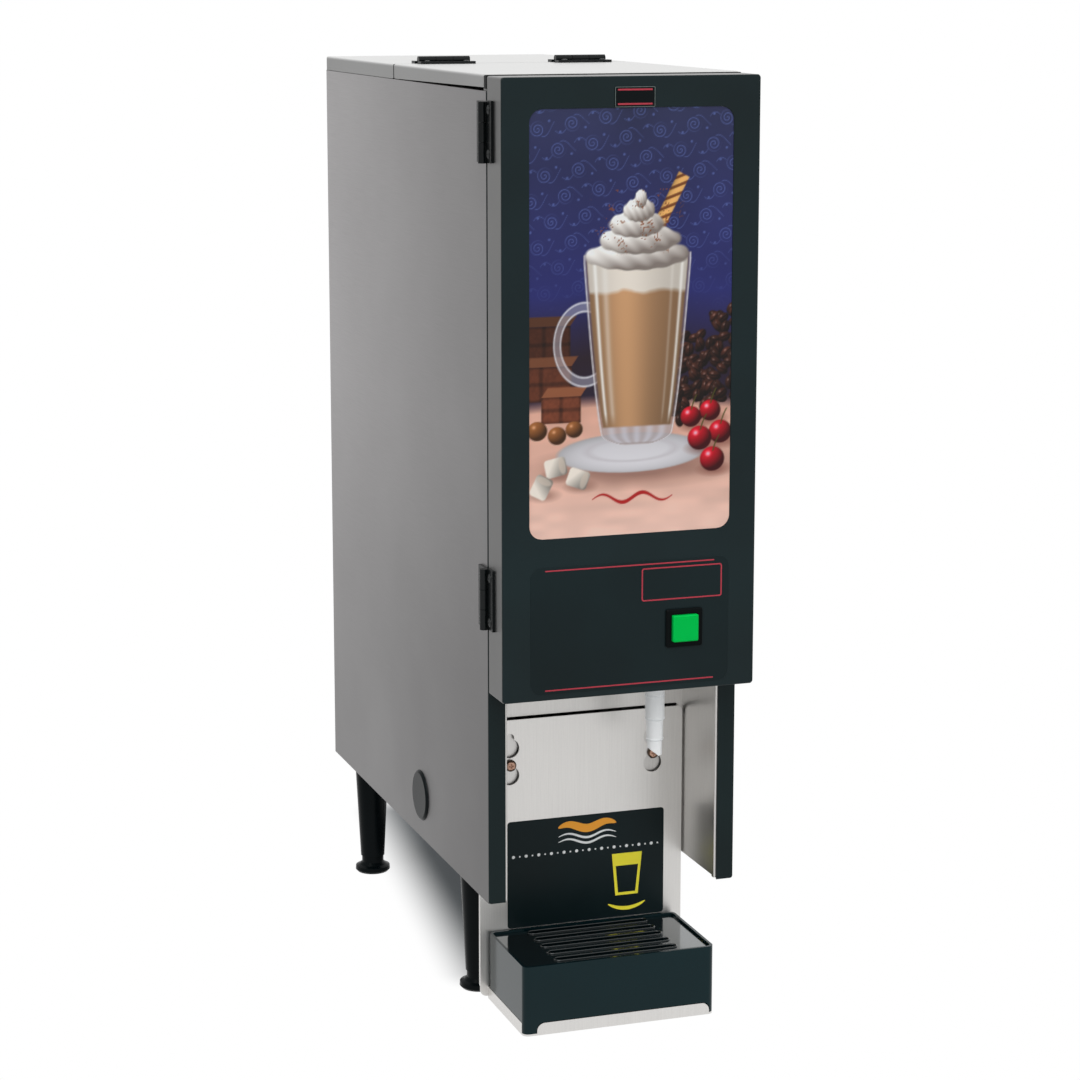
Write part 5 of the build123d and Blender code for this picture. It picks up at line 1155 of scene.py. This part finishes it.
class DISPENSER_OT_display(bpy.types.Operator):
    """Printed display panel behind its clear face"""

    bl_idname = "dispenser.display"
    bl_label = "Display panel"

    def execute(self, context):
        finish = context.scene.dispenser_finish
        material, tree, shader = start_material(
            "display_print", Coat_Weight=finish.print_gloss, Coat_Roughness=0.06,
            Specular_IOR_Level=0.12)
        ink = add_node(tree, "Attribute", attribute_name="Print").outputs["Color"]
        waves = effect(tree, pebble_group, in_0=90.0)["Height"]
        cover(tree, shader, ink, 0.4, waves, strength=0.02, distance=0.0002)
        cell = finish.print_cell * 1.0
        piece = painted_sheet("display_panel", WINDOW_LOW, WINDOW_HIGH, WINDOW_CORNER,
                              WINDOW_BACK, cell, paint_display, material, "door",
                              "display_film")
        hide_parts("display_film", "display_lens")
        return {"FINISHED"}


class DISPENSER_OT_door_label(bpy.types.Operator):
    """Film over the lower door with its red lines and frame, and the small badge"""

    bl_idname = "dispenser.door_label"
    bl_label = "Door label"

    def execute(self, context):
        finish = context.scene.dispenser_finish
        on_door = ("door", "door_black")
        film_thick, badge_thick = 0.25, 0.45
        over_film, over_badge = DOOR_FRONT - film_thick, DOOR_FRONT - badge_thick
        film = pebbled("label_film", scaled(finish.door_black, 0.88), roughness=0.40,
                       specular=0.14, pebbles=600.0, strength=0.15)
        red = pebbled("line_red", finish.line_red, pebbles=400.0, strength=0.05,
                      spreading=0.05)
        plate("door_label", rounded_outline(-76.8, 77.5, 268.5, 362.8, corner=8.0), film,
              *on_door, back=DOOR_FRONT, thick=film_thick)
        for name, level in (("label_line_top", 360.1), ("label_line_bottom", 271.3)):
            self.line(name, red, -65.7, 65.8, level, half=0.5, back=over_film)
        outer = rounded_outline(8.8, 72.0, 332.5, 357.3, corner=2.0)
        band("label_frame", outer, shrunk(outer, 1.0), red, *on_door, back=over_film,
             thick=PRINT_THICK)
        badge = pebbled("badge_black", (0.004, 0.006, 0.007), roughness=0.3, specular=0.08,
                        strength=0.1)
        silver = pebbled("badge_line", (0.16, 0.20, 0.19), roughness=0.35, specular=0.4,
                         strength=0.05)
        edge = rounded_outline(-13.8, 16.9, 691.4, 706.2, corner=1.0, steps=4)
        plate("door_badge", edge, badge, *on_door, back=DOOR_FRONT, thick=badge_thick,
              bevel=0.12)
        band("badge_outline", shrunk(edge, 0.25), shrunk(edge, 0.62), silver, *on_door,
             back=DOOR_FRONT - 0.4, thick=0.1)
        for name, level in (("badge_line_top", 703.9), ("badge_line_bottom", 693.8)):
            self.line(name, red, -11.6, 14.6, level, half=0.62, back=over_badge)
        return {"FINISHED"}

    def line(self, name, red, start, end, level, half, back):
        """A printed line across the door, half a width to each side of its level."""
        outline = rounded_outline(start, end, level - half, level + half, corner=0.3, steps=3)
        plate(name, outline, red, "door", "door_black", back=back, thick=PRINT_THICK,
              bevel=0.03)


class DISPENSER_OT_splash_label(bpy.types.Operator):
    """Black film on the splash plate with a cup symbol and a steam band"""

    bl_idname = "dispenser.splash_label"
    bl_label = "Splash label"

    def execute(self, context):
        finish = context.scene.dispenser_finish
        thick = 0.2
        film = pebbled("splash_film", (0.0040, 0.0105, 0.0120), roughness=0.34,
                       specular=0.14, pebbles=500.0, strength=0.06)
        plate("splash_label", rounded_outline(-60.8, 68.2, 56.0, 141.6, corner=2.5), film,
              "bracket", "tray_black", back=SPLASH_FRONT, thick=thick, bevel=0.05)
        self.tumbler(SPLASH_FRONT - thick, self.ink("symbol_yellow", finish.symbol_yellow))
        self.motif(SPLASH_FRONT - thick)
        return {"FINISHED"}

    def ink(self, name, colour, spreading=0.04):
        """Printed ink."""
        return pebbled(name, colour, roughness=0.5, strength=0.05, spreading=spreading)

    def ribbons(self, name, lines, ink, half, back):
        """Printed ribbons of one width along lines across and up."""
        joined(name, [ribbon_mesh(line, half, back, PRINT_THICK) for line in lines], ink,
               "bracket", "tray_black")

    def tumbler(self, back, yellow):
        """A yellow tumbler, bare up to two thirds, over the arc of a saucer."""
        outer = np.array([(28.0, 73.5), (46.7, 73.5), (50.0, 107.5), (25.0, 107.5)])
        inner = np.array([(30.2, 75.7), (44.6, 75.7), (46.9, 97.5), (28.2, 97.5)])
        band("cup_symbol", outer, inner, yellow, "bracket", "tray_black", back=back,
             thick=PRINT_THICK)
        t = np.linspace(-1, 1, 41)
        arc = np.stack([37.4 + 15.5 * t, 62.5 + 4.5 * t ** 2], -1)
        self.ribbons("saucer_symbol", [arc], yellow, 1.5 * np.sqrt(1.02 - t ** 2), back)

    def motif(self, back):
        """A wave of orange between two light lines, and a row of light dots below.

        The wave's middle is z0 + 2.1*sin over one and a half turns, and its width swells
        in the middle; a dot is a ring of twelve points.
        """
        orange = self.ink("motif_orange", (1.0, 0.40, 0.045), spreading=0.05)
        light = self.ink("motif_light", (0.86, 0.88, 0.88))
        t = np.linspace(-1, 1, 61)
        x, wave = 4.5 + 24 * t, 2.1 * np.sin(1.5 * math.pi * (t + 1))
        top, *lower = [np.stack([x, level + wave], -1) for level in (133.0, 125.6, 121.2)]
        swell = np.sqrt(1.001 - t ** 2)
        self.ribbons("motif_wave", [top], orange, 3.3 * swell, back)
        self.ribbons("motif_lines", lower, light, 0.9 * swell, back)
        turn = np.arange(12) * (math.pi / 6)
        dots_level, large, small = 113.2, 1.3, 0.7
        dots = [np.stack([x + size * np.cos(turn), dots_level + size * np.sin(turn)], -1)
                for x, size in zip(np.linspace(-56, 63, 24), [large, small] * 12)]
        joined("motif_dots", [plate_mesh(dot, back, PRINT_THICK, 0.03) for dot in dots], light,
               "bracket", "tray_black")


class DISPENSER_OT_fasteners(bpy.types.Operator):
    """Screw heads of the hinges, studs and sheets, and black strips of painted shade in the
    lid's gaps
    """

    bl_idname = "dispenser.fasteners"
    bl_label = "Fasteners"

    def execute(self, context):
        black = pebbled("screw_black", (0.006, 0.008, 0.008), roughness=0.24, specular=0.45,
                        strength=0.08)
        steel = brushed_steel("screw_steel", (0.52, 0.52, 0.51), "X", roughness=0.3)
        copper = brushed_steel("screw_copper", (0.44, 0.27, 0.20), "X", roughness=0.24)
        hinge_x, hinge_rows = -100.0, (319.6, 352.4, 659.0, 690.0)
        screw_heads("door_leaf_screws", [(hinge_x, -10.3, z) for z in hinge_rows], "left",
                    black, "door", "hinge_black", radius=3.3, rise=1.2)
        screw_heads("frame_leaf_screws", [(hinge_x, 9.6, z - 1) for z in hinge_rows], "left",
                    black, "cabinet", "hinge_black", radius=3.3, rise=1.2)
        lid_x, lid_z = [side * 57 + shift for side in (-1, 1) for shift in (-16, 16)], 716.4
        for name, y, body in (("lid_front_screws", 228.9, "lid"),
                              ("lid_rear_screws", 246.3, "cabinet")):
            screw_heads(name, [(x, y, lid_z) for x in lid_x], "up", black, body,
                        "hinge_black", radius=2.3, rise=0.8)
        screw_heads("stud_screws", [(-58.5, 66.5, 186.9), (58.5, 66.5, 186.9)], "front",
                    copper, "cabinet", "brass_stud", radius=3.5, rise=1.3)
        panel_back = CABINET_DEPTH * MM
        spots = self.pairs(90, (112, 300, 495, 690)) + [(0, 112), (0, 690)]
        screw_heads("back_screws", [(x, panel_back, z) for x, z in spots], "back", steel,
                    "cabinet", "stainless_side", radius=3.4, rise=1.1)
        spots = self.pairs(84, (276, 480, 700))
        screw_heads("cover_screws", [(x, -2.0, z) for x, z in spots], "back", steel, "door",
                    "stainless_door", radius=3.0, rise=1.0)
        # Painted shade: black strips at the lid's front edge and at the seams beside it stand in
        # for the shade in those gaps.
        gap_shade = pebbled("gap_shade_black", (0.004, 0.005, 0.0055), roughness=0.55,
                         specular=0.2, strength=0.2)
        plate("lid_gap_shade", rounded_outline(-97.6, 97.6, 704.2, 713.9, corner=0.8), gap_shade,
              "lid", "black_moulding", back=6.6, thick=5.4, bevel=0.3)
        for x, name in ((-97.4, "seam_gap_shade_left"), (97.4, "seam_gap_shade_right")):
            plate(name, rounded_outline(x - 0.5, x + 0.5, 703.4, 714.1, corner=0.2), gap_shade,
                  "cabinet", "black_moulding", back=238.8, thick=2.3, bevel=0.05)
        return {"FINISHED"}

    def pairs(self, x, levels):
        """Places across and up, to each side at each level."""
        return [(side * x, z) for side in (-1, 1) for z in levels]


class DISPENSER_PT_panel(bpy.types.Panel):
    """The dispenser's sizes, colours and pieces"""

    bl_label = "Hot Chocolate Dispenser"
    bl_space_type = "VIEW_3D"
    bl_region_type = "UI"
    bl_category = "Dispenser"

    def draw(self, context):
        layout = self.layout
        for group in (context.scene.dispenser_finish, context.scene.dispenser_stage):
            for key in group.__annotations__:
                layout.prop(group, key)
        for operator in OPERATORS:
            layout.operator(operator.bl_idname)


PROPERTIES = (DispenserFinish, DispenserStage)
OPERATORS = (
    DISPENSER_OT_stage,
    DISPENSER_OT_cabinet,
    DISPENSER_OT_door,
    DISPENSER_OT_bay,
    DISPENSER_OT_powder_parts,
    DISPENSER_OT_water_parts,
    DISPENSER_OT_electrics,
    DISPENSER_OT_display,
    DISPENSER_OT_door_label,
    DISPENSER_OT_splash_label,
    DISPENSER_OT_fasteners,
)


def register():
    """Adds the properties, operators and panel to Blender."""
    for item in (*PROPERTIES, *OPERATORS, DISPENSER_PT_panel):
        bpy.utils.register_class(item)
    bpy.types.Scene.dispenser_finish = PointerProperty(type=DispenserFinish)
    bpy.types.Scene.dispenser_stage = PointerProperty(type=DispenserStage)


def unregister():
    """Takes them out again."""
    del bpy.types.Scene.dispenser_finish
    del bpy.types.Scene.dispenser_stage
    for item in reversed((*PROPERTIES, *OPERATORS, DISPENSER_PT_panel)):
        bpy.utils.unregister_class(item)


def main():
    """Builds the pieces in order."""
    register()
    for operator in OPERATORS:
        family, name = operator.bl_idname.split(".")
        getattr(getattr(bpy.ops, family), name)()
    bpy.context.view_layer.update()


if __name__ == "__main__":
    main()
